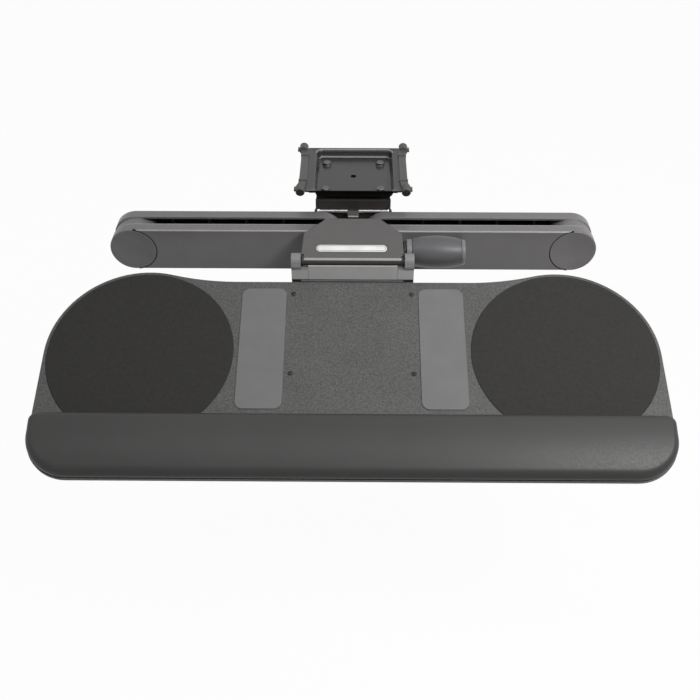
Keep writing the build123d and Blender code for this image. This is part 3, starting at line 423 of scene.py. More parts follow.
def moulded(shade, colour, gloss=0.5, grain=0.0006, depth=0.00002, edge=0.0005, specular=0.4):
    """Moulded plastic with a fine spark-eroded skin."""
    normal = shade.soft_edges(edge)
    skin = shade.cells(grain)
    base = shade.mottled(colour, 0.02, 3.0, 0.93, 1.07)
    shade.set(
        # Lighter edges: part rubbed wear, part painted highlight.
        Base_Color=shade.blend(shade.edge_share(normal, 0.35), base, scaled(colour, 1.35)),
        Roughness=shade.span(skin, 0.0, 0.8, gloss - 0.06, gloss + 0.06),
        Normal=shade.bump(skin, depth, normal),
        Specular_IOR_Level=specular,
    )


def steel(shade, colour, gloss=0.28, brush=(1.0, 30.0, 30.0), dirt=0.35):
    """Bare or blackened steel with fine turning marks and dull patches."""
    marks = shade.noise(0.004, 4.0, 0.6, brush)
    film = shade.span(shade.noise(0.012, 4.0), 0.4, 0.75, 0.0, dirt)
    shade.set(
        Base_Color=shade.blend(film, colour, scaled(colour, 0.35)),
        Metallic=0.9,
        Roughness=shade.span(marks, 0.2, 0.8, gloss, gloss + 0.18),
        Normal=shade.bump(marks, 0.00001, shade.soft_edges(0.0004)),
    )


def laminate(shade, colour):
    """The board: a pebbled dark top with fine specks, and a lighter cut edge, dark by the bracket."""
    fine = shade.noise(0.0011, 3.0, 0.7)
    height = shade.maths("ADD", shade.cells(0.0021), fine)
    speck = shade.span(shade.noise(0.0019, 3.0, 0.85), 0.38, 0.64)
    tone = shade.span(shade.noise(0.06, 3.0), 0.3, 0.7, 0.92, 1.08)
    top = shade.blend(speck, scaled(colour, 0.62), scaled(colour, 1.42))
    toned = shade.node("ShaderNodeVectorMath", {0: top, "Scale": tone}, operation="SCALE").outputs["Vector"]
    level = shade.dot(shade.facing, (0.0, -math.sin(TRAY_SLOPE), math.cos(TRAY_SLOPE)))
    across, y, _ = shade.axes()
    bracket_half, rear_run = 0.076, 0.012
    behind = tray_point(0.0, rear_run, 0.0).y
    clear = shade.maths("MAXIMUM", shade.span(across, bracket_half, bracket_half + 0.002),
                        shade.span(y, behind, behind - 0.001))
    cut_edge = shade.times(shade.span(level, 0.75, 0.35), clear)
    shade.set(
        Base_Color=shade.blend(cut_edge, toned, colours().board_edge),
        Roughness=shade.span(fine, 0.3, 0.7, 0.5, 0.68),
        Normal=shade.bump(height, 0.0002, shade.soft_edges(0.0006)),
        Specular_IOR_Level=0.3,
    )


def cloth(shade, colour, thread=0.0009):
    """Fine woven cloth over foam, with a soft sheen."""
    weave = shade.times(shade.waves(thread, "X"), shade.waves(thread, "Y"))
    base = shade.mottled(colour, 0.004, 4.0, 0.9, 1.1)
    shade.set(
        Base_Color=shade.blend(shade.span(weave, 0.0, 1.0, 0.0, 0.3), base, scaled(colour, 1.25)),
        Roughness=0.92,
        Normal=shade.bump(weave, 0.00006),
        Specular_IOR_Level=0.08,
        Sheen_Weight=0.06,
        Sheen_Roughness=0.6,
    )


def soft_skin(shade, colour):
    """The palm rest's soft coated skin, with a fine grain."""
    creases = shade.noise(0.0025, 4.0, 0.6)
    height = shade.maths("ADD", shade.cells(0.0008, "SMOOTH_F1"), creases)
    shade.set(
        Base_Color=shade.mottled(colour, 0.05, 3.0, 0.94, 1.06),
        Roughness=shade.span(creases, 0.3, 0.7, 0.4, 0.5),
        Normal=shade.bump(height, 0.00004),
        Specular_IOR_Level=0.36,
    )


def rubber(shade, colour):
    """Flat matt rubber with a faint bloom."""
    skin = shade.noise(0.0009, 3.0)
    bloom = shade.span(shade.noise(0.025, 5.0, 0.6), 0.3, 0.75)
    shade.set(
        Base_Color=shade.blend(bloom, scaled(colour, 0.95), scaled(colour, 1.07)),
        Roughness=shade.span(skin, 0.3, 0.7, 0.62, 0.76),
        Normal=shade.bump(skin, 0.00003, shade.soft_edges(0.0006)),
        Specular_IOR_Level=0.3,
    )


# What a user would change

def length(name, description, default):
    return bpy.props.FloatProperty(name=name, description=description, default=default, min=0.0,
                                   unit="LENGTH", precision=4)


def tint(name, description, default):
    return bpy.props.FloatVectorProperty(name=name, description=description, default=default, size=3,
                                         subtype="COLOR", min=0.0, max=1.0)


def amount(name, description, default, unit="NONE"):
    return bpy.props.FloatProperty(name=name, description=description, default=default, unit=unit)


class TraySizes(bpy.types.PropertyGroup):
    bolt_hex: length("Bolt hexagon", "Width across the flats of a pan bolt", 0.0095)
    bolt_head: length("Bolt head", "Height of a pan bolt's head above its flange", 0.0036)
    bolt_flange: length("Bolt flange", "Radius of a pan bolt's flange", 0.006)
    screw_head: length("Screw head", "Radius of a tray screw's head", 0.0028)
    pan_bend: length("Pan bend", "Radius of the bend at the rim of the pan", 0.0042)
    pan_foot: length("Pan foot", "Radius of the bend at the floor of the pan", 0.0034)
    palm_round: length("Palm round", "Radius of the palm rest's front and end edges", 0.0085)
    palm_rear_round: length("Palm rear round", "Radius of the palm rest's rear edge", 0.005)
    palm_crown: length("Palm crown", "Radius of the palm rest's crowned top", 0.16)
    pad_edge: length("Pad edge", "Radius of a mouse pad's upper edge", 0.0007)
    curl: length("Curl", "Outer radius of the curls round the neck rod", 0.0046)


class TrayColours(bpy.types.PropertyGroup):
    trolley: tint("Trolley", "Powder coat of the trolley", (0.031, 0.029, 0.03))
    glide: tint("Glides", "Nylon of the glide shoes", (0.08, 0.078, 0.075))
    neck: tint("Neck", "Powder coat of the neck", (0.03, 0.026, 0.025))
    arm: tint("Arms", "Paint of the arms", (0.172, 0.166, 0.169))
    cap: tint("Caps", "Plastic of the knuckle caps", (0.176, 0.169, 0.172))
    cover: tint("Cover", "Paint of the cover plate", (0.094, 0.09, 0.089))
    bracket: tint("Bracket", "Paint of the tray bracket", (0.48, 0.47, 0.468))
    knob: tint("Knob", "Plastic of the tilt knob", (0.085, 0.085, 0.09))
    board: tint("Board", "Top of the board", (0.095, 0.096, 0.093))
    board_edge: tint("Board edge", "Cut edge of the board", (0.33, 0.33, 0.325))
    pad: tint("Mouse pads", "Cloth of the mouse pads", (0.042, 0.041, 0.039))
    grip: tint("Grips", "Rubber of the grip strips", (0.18, 0.178, 0.18))
    palm: tint("Palm rest", "Skin of the palm rest", (0.033, 0.032, 0.031))
    strip: tint("Strip", "White strip of the cover", (0.86, 0.86, 0.84))
    bright: tint("Bright steel", "Bare turned steel", (0.44, 0.435, 0.425))
    black: tint("Black steel", "Blackened fixings", (0.05, 0.048, 0.048))


class TrayStage(bpy.types.PropertyGroup):
    camera_place: bpy.props.FloatVectorProperty(
        name="Camera place", description="Where the camera stands", default=(0.0036, -1.0, 0.569),
        size=3, subtype="XYZ", unit="LENGTH")
    camera_pitch: amount("Camera pitch", "How far the camera looks down", math.radians(41.0), "ROTATION")
    camera_yaw: amount("Camera yaw", "How far the camera turns left", math.radians(0.45), "ROTATION")
    camera_lens: amount("Camera lens", "Focal length", 46.286, "CAMERA")
    key_power: amount("Key light", "Power of the long light above the front", 3.8, "POWER")
    rim_power: amount("Rim light", "Power of the long light above the back", 2.0, "POWER")
    front_power: amount("Front light", "Power of the light in front, at the right", 8.5, "POWER")
    ambient: amount("Ambient", "Strength of the light from all round", 0.12)
    floor_glow: amount("Floor glow", "Share of plain white in what the camera sees of the floor", 0.968)
    floor_drop: length("Floor drop", "Room under the part for its lowered arms and tilted tray", 0.32)


def sizes():
    return bpy.context.scene.tray_sizes


def colours():
    return bpy.context.scene.tray_colours


# Finishes by name, each made from a colour, or a share of one, by one of the functions above

def made_by(maker, tint_or_colour, share=1.0, **more):
    return maker, tint_or_colour, share, more


FINISHES = {
    "trolley_coat": made_by(paint, "trolley", gloss=0.24, depth=0.00001, mottle=0.08, edge=0.0009, lift=1.9,
                            specular=0.45),
    # A lighter paint as a painted highlight on the pan's rear rim and foot bends.
    "trolley_shine": made_by(paint, (0.26, 0.255, 0.25), gloss=0.26, mottle=0.06, edge=0.0009),
    "glide_nylon": made_by(moulded, "glide", gloss=0.46),
    "neck_coat": made_by(paint, "neck", gloss=0.5, depth=0.00002, mottle=0.1, edge=0.0006, lift=2.0),
    "arm_coat": made_by(arm_paint, "arm"),
    "cap_skin": made_by(moulded, "cap", gloss=0.36, grain=0.0008, depth=0.000006, edge=0.0006),
    "cover_coat": made_by(paint, "cover", grain=0.001, lift=1.5),
    "bracket_coat": made_by(paint, "bracket", grain=0.001, lift=1.4),
    "ear_coat": made_by(ear_paint, "bracket"),
    "knob_skin": made_by(moulded, "knob", gloss=0.42, grain=0.0007, depth=0.000006, specular=0.45),
    "knob_trim": made_by(moulded, "knob", 2.2, gloss=0.3, grain=0.0007, depth=0.000005),
    "board_top": made_by(laminate, "board"),
    "pad_cloth": made_by(cloth, "pad"),
    "grip_rubber": made_by(rubber, "grip"),
    "palm_skin": made_by(soft_skin, "palm"),
    "palm_sheet": made_by(moulded, "black", gloss=0.6),
    "strip_gloss": made_by(moulded, "strip", gloss=0.22, grain=0.002, depth=0.000004, edge=0.0004,
                           specular=0.5),
    # A darker share of the strip as painted shade in its border groove.
    "strip_line": made_by(moulded, "strip", 0.45, gloss=0.4, grain=0.002, depth=0.000004),
    "bright_steel": made_by(steel, "bright", gloss=0.25, brush=(1.0, 12.0, 12.0), dirt=0.2),
    "gear_steel": made_by(steel, "bright", 0.6, gloss=0.38),
    "black_steel": made_by(steel, "black", gloss=0.3, brush=(8.0, 8.0, 8.0), dirt=0.2),
    "bush_skin": made_by(moulded, (0.016, 0.016, 0.016), gloss=0.35),
    "bumper_rubber": made_by(rubber, (0.012, 0.011, 0.011)),
    "rough_nylon": made_by(moulded, "glide", gloss=0.55, grain=0.0016, depth=0.0002, edge=0.0008),
    # A much lighter steel for painted glints at the rod's ends.
    "ball_steel": made_by(steel, (0.85, 0.85, 0.83), gloss=0.2, brush=None, dirt=0.0),
    # Near-black: painted shade on the trolley pan's underside and folds, and the dark seams of the caps.
    "deep_black": made_by(moulded, (0.004, 0.004, 0.004), gloss=0.7, grain=0.001, depth=0.00001,
                          edge=0.0004, specular=0.1),
    # A pale paint for the block along the hook's lower lip.
    "pale_zinc": made_by(paint, (0.5, 0.49, 0.48), gloss=0.35, grain=0.001, depth=0.000004, mottle=0.04,
                         edge=0.0005),
    # Painted shade under the cover's lip and a painted highlight along its top.
    "lip_coat": made_by(paint, "neck", 0.7, gloss=0.3, depth=0.000006, mottle=0.1, edge=0.0006),
    "lip_shine": made_by(paint, (0.3, 0.295, 0.29), gloss=0.26, depth=0.000004, mottle=0.04, edge=0.0006,
                         specular=0.8),
    "bolt_steel": made_by(steel, "black", 2.4, gloss=0.24, brush=(8.0, 8.0, 8.0), dirt=0.1),
}

NODE_FINISHES = {
    "trolley_coat": "trolley_plate",
    "glide_nylon": "glide_left glide_right",
    # The swivel races take the neck's dark coat as painted shade under the trolley.
    "neck_coat": "neck_bracket swivel_upper_race swivel_lower_race rod_hook",
    "arm_coat": "rear_arm_left rear_arm_right front_arm_left front_arm_right",
    "cap_skin": "front_cap_left front_cap_right",
    "cover_coat": "cover_plate hub_plate",
    "bracket_coat": "hinge_panel",
    "ear_coat": "tray_bracket",
    "knob_skin": "knob_grip",
    "knob_trim": "knob_collar knob_end_ring",
    "board_top": "tray_board",
    "pad_cloth": "mouse_pad_left mouse_pad_right",
    "grip_rubber": "grip_left grip_right",
    "palm_skin": "palm_rest",
    "palm_sheet": "palm_base",
    "strip_gloss": "gauge_strip",
    "bush_skin": "hinge_bushes",
    "bright_steel": "neck_rod swivel_balls hinge_pin tilt_shaft",
    "gear_steel": "rear_gear_left rear_gear_right front_gear_left front_gear_right tilt_nut nut_guide "
                  "lift_spring_left lift_spring_right",
    "black_steel": "rear_pivot_pins front_pivot_pins knuckle_pin_left knuckle_pin_right rear_pivot_clips "
                   "front_pivot_clips trolley_bolts tray_screws tray_nuts rear_gear_screws_left "
                   "rear_gear_screws_right front_gear_screws_left front_gear_screws_right",
}

MATERIALS = {}


def finish(name):
    """One of the finishes, made once."""
    if name not in MATERIALS:
        maker, colour, share, more = FINISHES[name]
        if isinstance(colour, str):
            colour = getattr(colours(), colour)
        shade = Shade(name)
        maker(shade, scaled(colour, share), **more)
        MATERIALS[name] = shade.material
    return MATERIALS[name]


# Geometry Nodes for fixings that repeat

class Grower(Nodes):
    """A Geometry Nodes tree with named inputs."""

    def __init__(self, name, inputs):
        super().__init__(bpy.data.node_groups.new(name, "GeometryNodeTree"))
        self.tree.interface.new_socket("Geometry", in_out="OUTPUT", socket_type="NodeSocketGeometry")
        self.values = {}
        for label, value in inputs.items():
            socket = self.tree.interface.new_socket(label, in_out="INPUT", socket_type="NodeSocketFloat")
            socket.default_value = value
            self.values[socket.identifier] = value
        self.group_in = self.node("NodeGroupInput")
        self.group_out = self.node("NodeGroupOutput")

    def value(self, label):
        return self.group_in.outputs[label]

    def vector(self, **parts):
        return self.node("ShaderNodeCombineXYZ", parts).outputs["Vector"]

    def moved(self, part, by):
        return self.node("GeometryNodeTransform", {"Geometry": part, "Translation": by}).outputs["Geometry"]

    def drum(self, radius, height, low, sides, top=None):
        """A cylinder or a cone stump that stands on the level low."""
        made = self.node("GeometryNodeMeshCone", {
            "Vertices": sides, "Radius Bottom": radius, "Radius Top": radius if top is None else top,
            "Depth": height,
        }).outputs["Mesh"]
        return self.moved(made, self.vector(Z=low))

    def join(self, *parts):
        joined = self.node("GeometryNodeJoinGeometry")
        for part in parts:
            self.put(joined.inputs["Geometry"], part)
        return joined.outputs["Geometry"]

    def scatter(self, places, instance, turn):
        """The instance, turned, on each of the places."""
        spots = []
        for place in places:
            spot = self.node("GeometryNodeMeshLine", {"Count": 1, "Start Location": place})
            spots.append(spot.outputs["Mesh"])
        return self.node("GeometryNodeInstanceOnPoints", {
            "Points": self.join(*spots), "Instance": instance, "Rotation": turn,
        }).outputs["Instances"]

    def grow(self, name, instances, kind, sharp):
        """The plain mesh that the tree makes, in one finish."""
        real = self.node("GeometryNodeRealizeInstances", {"Geometry": instances}).outputs["Geometry"]
        coated = self.node("GeometryNodeSetMaterial", {"Geometry": real, "Material": finish(kind)})
        self.put(self.group_out.inputs["Geometry"], coated.outputs["Geometry"])
        host = new_piece(name, bpy.data.meshes.new(name))
        modifier = host.modifiers.new("grow", "NODES")
        modifier.node_group = self.tree
        for identifier, value in self.values.items():
            modifier[identifier] = value
        bpy.context.view_layer.update()
        seen = host.evaluated_get(bpy.context.evaluated_depsgraph_get())
        grown = bpy.data.meshes.new_from_object(seen)
        host.modifiers.remove(modifier)
        host.data = grown
        grown.name = name
        shape = bmesh.new()
        shape.from_mesh(grown)
        write_mesh(shape, grown, sharp)
        return host


# The operators, one for each piece or group of like pieces

class TRAY_OT_finishes(bpy.types.Operator):
    """Paints, plastics and steels on every CAD node"""
    bl_idname = "tray.finishes"
    bl_label = "Finishes"

    def execute(self, context):
        for name, members in NODE_FINISHES.items():
            for member in members.split():
                mesh = NODES[member].data
                mesh.materials.clear()
                mesh.materials.append(finish(name))
        return {"FINISHED"}


class TRAY_OT_trolley_pan(bpy.types.Operator):
    """The pressed plate of the trolley, with rounded bends, folded edges, painted highlights along its rear
    bends, and painted shade in black on its underside and folds
    """
    bl_idname = "tray.trolley_pan"
    bl_label = "Trolley pan"
    half, shift, front, rear = 0.048, 0.0012, -0.0502, 0.0511
    sheet, draft, back_off = 0.0018, 0.0021, 0.001
    plate_corner, pan_corner, least_corner, hole_radius = 0.003, 0.0075, 0.0016, 0.0035
    fold_inset, fold_low, fold_top, fold_bevel = 0.0055, -0.0029, -0.0002, 0.0004
    flat_end, floor_run, shine_run = -0.0025, 0.012, 0.008

    def ring(self, inset, z):
        """The pan's outline, drawn in by an inset."""
        middle = Vector((self.shift, (self.front + self.rear) / 2, 0.0))
        reach = (self.rear - self.front) / 2 - inset
        corner = max(self.pan_corner - inset, self.least_corner)
        return [point + middle for point in corner_ring(self.half - inset, reach, corner, z)]

    def execute(self, context):
        half_x, half_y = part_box("trolley_plate")[1].xy
        ends = [(-0.006, 0.0), (0.0, 0.0), (self.draft, PAN_FLOOR), (self.draft + self.floor_run, PAN_FLOOR)]
        path = rounded_path(ends, [sizes().pan_bend, sizes().pan_foot], 7)
        rim = corner_ring(half_x, half_y - self.back_off, self.plate_corner)
        rings = [[point + BACK * self.back_off for point in rim]]
        rings += [self.ring(point.x, point.y) for point in path if point.x > self.flat_end]
        hole = []
        for point in rings[-1]:
            turn = math.atan2(point.y, point.x)
            spoke = Vector((math.cos(turn), math.sin(turn), 0.0))
            hole.append(spoke * self.hole_radius + UP * PAN_FLOOR)
        rings.append(hole)
        under = [[point - UP * self.sheet for point in ring] for ring in rings]
        for low_ring, ring in zip(under[1:-1], rings[1:-1]):
            for point, above in zip(low_ring, ring):
                point.x += math.copysign(self.sheet / 2, above.x)
        shape = bmesh.new()
        loft(shape, rings + list(reversed(under)) + [rings[0]], caps=False)
        topside = (len(rings) - 1) * len(rim)
        # Painted shade: the underside takes a near-black finish.
        mark_faces(shape, topside, None, 1)
        # Painted highlight: faces along the rim and foot bends at the rear take a lighter paint.
        for face in shape.faces[:topside]:
            middle = face.calc_center_median()
            on_rim = -0.0012 < middle.z < -0.0003
            on_foot = 0.0003 < middle.z - PAN_FLOOR < 0.0011
            if middle.y > self.rear - self.shine_run and (on_rim or on_foot):
                face.material_index = 2
        fold_x = half_x - self.fold_inset
        for side in (-1, 1):
            y = side * (half_y - self.sheet / 2) + (2 * self.back_off if side < 0 else 0)
            first = len(shape.faces)
            block(shape, (-fold_x, y - self.sheet / 2, self.fold_low),
                  (fold_x, y + self.sheet / 2, self.fold_top), self.fold_bevel)
            # The folds take the same near-black painted shade.
            mark_faces(shape, first, None, 1)
        plate = from_bmesh("trolley_pan", shape, "trolley_coat", "deep_black", "trolley_shine", sharp=40.0)
        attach(plate, "trolley")
        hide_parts("trolley_plate")
        return {"FINISHED"}


class TRAY_OT_pan_bolts(bpy.types.Operator):
    """Four flanged hexagon bolts in the pan"""
    bl_idname = "tray.pan_bolts"
    bl_label = "Pan bolts"

    def execute(self, context):
        low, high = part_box("trolley_bolts")
        reach = sizes().bolt_flange
        grower = Grower("pan_bolts", {
            "Half spacing X": high.x - reach, "Front Y": low.y + reach, "Rear Y": high.y - reach,
            "Hexagon radius": sizes().bolt_hex / math.sqrt(3), "Head height": sizes().bolt_head,
            "Flange radius": reach,
        })
        hexagon, height = grower.value("Hexagon radius"), grower.value("Head height")
        flange, times = grower.value("Flange radius"), grower.times
        head_low = PAN_FLOOR + 0.0011
        crown_low = grower.maths("ADD", times(height, 0.8), head_low)
        dish_low = grower.maths("ADD", height, PAN_FLOOR + 0.001)
        bolt = grower.join(
            grower.drum(flange, 0.0012, PAN_FLOOR, 32, times(flange, 0.93)),
            grower.drum(hexagon, times(height, 0.8), head_low, 6),
            grower.drum(hexagon, times(height, 0.2), crown_low, 6, times(hexagon, 0.74)),
            grower.drum(times(hexagon, 0.66), 0.0005, dish_low, 24, times(hexagon, 0.4)),
            grower.drum(0.003, 0.004, low.z, 24),
        )
        spacing, twist = grower.value("Half spacing X"), 0.4
        places = []
        for row in ("Front Y", "Rear Y"):
            for sign in (-1.0, 1.0):
                places.append(grower.vector(X=times(spacing, sign), Y=grower.value(row)))
        spots = grower.scatter(places, bolt, (0.0, 0.0, twist))
        bolts = grower.grow("pan_bolt_heads", spots, "bolt_steel", 25.0)
        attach(bolts, "trolley")
        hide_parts("trolley_bolts")
        return {"FINISHED"}


class TRAY_OT_bumpers(bpy.types.Operator):
    """Rough blocks with dark round faces at the four ends of the glides"""
    bl_idname = "tray.bumpers"
    bl_label = "Bumpers"

    def execute(self, context):
        low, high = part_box("glide_right")
        fin_reach, z = 0.0077, 0.0008
        x = high.x - fin_reach
        for name, parts, kind in (("bumper_blocks", self.block, "rough_nylon"),
                                  ("bumper_faces", self.face, "bumper_rubber")):
            grower = Grower(name, {"Bumper radius": 0.0056, "Bumper length": 0.012})
            part = parts(grower, grower.value("Bumper radius"))
            ends = []
            for y, turn in ((low.y, math.pi / 2), (high.y, -math.pi / 2)):
                places = [Vector((side * x, y, z)) for side in (-1, 1)]
                ends.append(grower.scatter(places, part, (turn, 0.0, 0.0)))
            piece = grower.grow(name + "_set", grower.join(*ends), kind, 35.0)
            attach(piece, "trolley")
        return {"FINISHED"}

    def block(self, grower, radius):
        back = grower.value("Bumper length")
        chamfer = grower.drum(radius, 0.0012, -0.0014, 20, grower.times(radius, 0.86))
        return grower.join(chamfer, grower.drum(radius, back, grower.maths("SUBTRACT", -0.0013, back), 20))

    def face(self, grower, radius):
        times = grower.times
        return grower.join(grower.drum(times(radius, 0.84), 0.0009, -0.0004, 28, times(radius, 0.72)),
                           grower.drum(times(radius, 0.3), 0.0008, 0.0003, 16, times(radius, 0.18)))


class TRAY_OT_rod_curls(bpy.types.Operator):
    """The neck rod with bright balls at its ends as painted glints, the dark curls that hold it and the
    hook's pale lip
    """
    bl_idname = "tray.rod_curls"
    bl_label = "Neck rod"

    def execute(self, context):
        low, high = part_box("neck_rod")
        radius, raised, half = (high.z - low.z) / 2, 0.0018, high.x
        tip, ball = radius / 3, radius * 1.25
        ball_inset, ball_lift, curl_inset = 0.0042, 0.0004, 0.0034
        middle = Vector((0.0, (low.y + high.y) / 2, (low.z + high.z) / 2 + raised))
        shape = bmesh.new()
        profile = disc(-half, half, radius, tip)
        profile[2:2] = [(-half + 3 * tip, radius), (half - 3 * tip, radius)]
        turned(shape, profile, middle, ACROSS, 32)
        rod = from_bmesh("bright_rod", shape, "bright_steel", sharp=50.0)
        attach(rod, "neck")
        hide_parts("neck_rod")

        shape = bmesh.new()
        # Painted glints: small balls in a much lighter steel stand in for the shine at the rod's ends.
        for side in (-1, 1):
            arc = [(-ball * math.cos(turn), ball * math.sin(turn)) for turn in spread(0.0, math.pi, 12)]
            turned(shape, arc, middle + Vector((side * (half - ball_inset), 0.0, ball_lift)), ACROSS, 24)
        balls = from_bmesh("rod_ends", shape, "ball_steel")
        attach(balls, "neck")

        shape = bmesh.new()
        wall, half_width = 0.0011, 0.0011
        radii = (sizes().curl - wall, sizes().curl)
        for side in (-1, 1):
            tilt = Matrix.Rotation(side * math.radians(35), 3, "Z")
            band(shape, middle + ACROSS * side * (half - curl_inset), tilt @ BACK, tilt @ ACROSS, (-60, 230),
                 radii, (-half_width, half_width), 24)
        curls = from_bmesh("rod_curls", shape, "neck_coat", sharp=40.0)
        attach(curls, "neck")

        low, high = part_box("rod_hook")
        inset, proud, depth, drop, rise, bevel = 0.0004, 0.0006, 0.0022, 0.001, 0.0014, 0.0005
        shape = bmesh.new()
        block(shape, (low.x + inset, low.y - proud, low.z - drop),
              (high.x - inset, low.y + depth, low.z + rise), bevel)
        # A pale block along the hook's lower lip.
        lip = from_bmesh("hook_lip", shape, "pale_zinc", sharp=40.0)
        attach(lip, "neck")
        return {"FINISHED"}


class TRAY_OT_cover_details(bpy.types.Operator):
    """The cover's rolled lip with a painted highlight along its top and painted shade below, the dark rings
    beside it and the white strip with its inner border groove darkened as painted shade
    """
    bl_idname = "tray.cover_details"
    bl_label = "Cover details"

    def execute(self, context):
        axis = HINGE * (BACK + UP)
        half, inner, outer = 0.0565, 0.0047, 0.00535
        # Painted highlight and painted shade: a pale band along the top of the lip, and a dark band round
        # the rest of it.
        for name, degrees, kind in (("lip_line", (84.0, 48.0), "lip_shine"),
                                    ("cover_lip", (48.0, -86.0), "lip_coat")):
            shape = bmesh.new()
            band(shape, axis, -BACK, ACROSS, degrees, (inner, outer), (-half, half), 24)
            lip = from_bmesh(name, shape, kind, sharp=40.0)
            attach(lip, "front_hub")

        shape = bmesh.new()
        edge = 0.0005
        ring_in, ring_out, ring_radius = 0.0566, 0.0593, 0.0064
        washer_in, washer_out, washer_radius = 0.0598, 0.0623, 0.0128
        for side in (-1, 1):
            turned(shape, disc(ring_in, ring_out, ring_radius, edge), axis, ACROSS * side, 40)
        turned(shape, disc(washer_in, washer_out, washer_radius, edge), SHAFT * (BACK + UP), ACROSS, 48)
        rings = from_bmesh("bush_rings", shape, "bush_skin", sharp=30.0)
        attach(rings, "front_hub")

        low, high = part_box("gauge_strip")
        shift = Matrix.Translation((-0.0014, -0.0005, 0.0))
        place = Matrix.Translation((low + high) / 2) @ Matrix.Rotation(COVER_SLOPE, 4, "X") @ shift
        half_x, half_y = high.x - 0.0004, 0.0052
        thick, border, groove = 0.0005, 0.0011, 0.00025
        profile = ((0.0, -thick), (0.0, thick - 0.0003), (0.0003, thick), (border, thick),
                   (border + 0.0002, thick - groove), (border + 0.0006, thick - groove),
                   (border + 0.0009, thick - groove / 5), (border + 0.0022, thick))
        rings = []
        for inset, z in profile:
            ring = corner_ring(half_x - inset, half_y - inset, half_y - inset - 0.0001, z, 12)
            rings.append([place @ point for point in ring])
        shape = bmesh.new()
        loft(shape, rings)
        around = len(rings[0])
        # Painted shade: the border groove is darker than the strip.
        mark_faces(shape, 3 * around, 6 * around, 1)
        strip = from_bmesh("white_strip", shape, "strip_gloss", "strip_line", sharp=50.0)
        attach(strip, "front_hub")
        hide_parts("gauge_strip")
        return {"FINISHED"}


class TRAY_OT_knuckle_caps(bpy.types.Operator):
    """Dished caps over the knuckles of the front arms, each with a dark seam on its inner side"""
    bl_idname = "tray.knuckle_caps"
    bl_label = "Knuckle caps"

    def execute(self, context):
        for side, word in SIDES:
            low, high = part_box("front_cap_" + word)
            radius, depth = ARM_HEIGHT / 2, high.y - low.y
            rim, dish, bend = 0.0016, 0.0024, 0.0011
            profile = [(0.0, radius)]
            for turn in spread(0.0, math.pi / 2, 5):
                profile.append((depth - bend * (1 - math.sin(turn)), radius - bend * (1 - math.cos(turn))))
            for share in spread(0.0, 1.0, 24)[1:]:
                drop = dish * (1 - (1 - share) ** 2)
                profile.append((depth - drop, (radius - rim) * (1 - share) + 0.00002))
            shape = bmesh.new()
            turned(shape, profile, (side * KNUCKLE_X, high.y, PIVOT_Z), -BACK, 96)
            cap = from_bmesh("dished_cap_" + word, shape, "cap_skin")
            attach(cap, "front_arm_" + word)
            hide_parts("front_cap_" + word)

            shape = bmesh.new()
            seam_radii, seam_ends = (0.0276, 0.02845), (-0.00008, 0.0022)
            knuckle = Vector((side * KNUCKLE_X, low.y, PIVOT_Z))
            band(shape, knuckle, ACROSS * -side, BACK, (-84, 84), seam_radii, seam_ends, 48)
            seam = from_bmesh("cap_seam_" + word, shape, "deep_black", sharp=40.0)
            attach(seam, "front_arm_" + word)
        return {"FINISHED"}


class TRAY_OT_tray_screws(bpy.types.Operator):
    """Four cross-slotted screws through the board"""
    bl_idname = "tray.tray_screws"
    bl_label = "Tray screws"

    def execute(self, context):
        radius = sizes().screw_head
        half_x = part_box("tray_screws")[1].x - radius
        runs = (0.0183, 0.1219)
        grower = Grower("tray_screws", {"Head radius": radius, "Head height": 0.0013, "Slot width": 0.0009})
        head, height, slot = (grower.value(name) for name in ("Head radius", "Head height", "Slot width"))
        times = grower.times
        flange = grower.drum(head, times(height, 0.55), 0.0, 28, times(head, 0.92))
        dome = grower.drum(times(head, 0.92), times(height, 0.45), times(height, 0.54), 28, times(head, 0.6))
        cut = grower.node("GeometryNodeMeshBoolean", {"Mesh 1": grower.join(flange, dome)},
                          operation="DIFFERENCE")
        slot_length, slot_depth, slot_middle = times(head, 1.1), 0.0016, 0.0014
        for x, y in ((slot_length, slot), (slot, slot_length)):
            bar = grower.node("GeometryNodeMeshCube", {"Size": grower.vector(X=x, Y=y, Z=slot_depth)})
            grower.put(cut.inputs["Mesh 2"], grower.moved(bar.outputs["Mesh"], (0.0, 0.0, slot_middle)))
        shank = grower.drum(0.002, 0.0122, -0.0121, 20)
        screw = grower.join(cut.outputs["Mesh"], shank)
        places = [tray_point(side * half_x, run, 0.0) for side in (-1, 1) for run in runs]
        screws = grower.grow("tray_screw_set", grower.scatter(places, screw, (TRAY_SLOPE, 0.0, 0.0)),
                             "black_steel", 30.0)
        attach(screws, "tray")
        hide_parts("tray_screws")
        return {"FINISHED"}


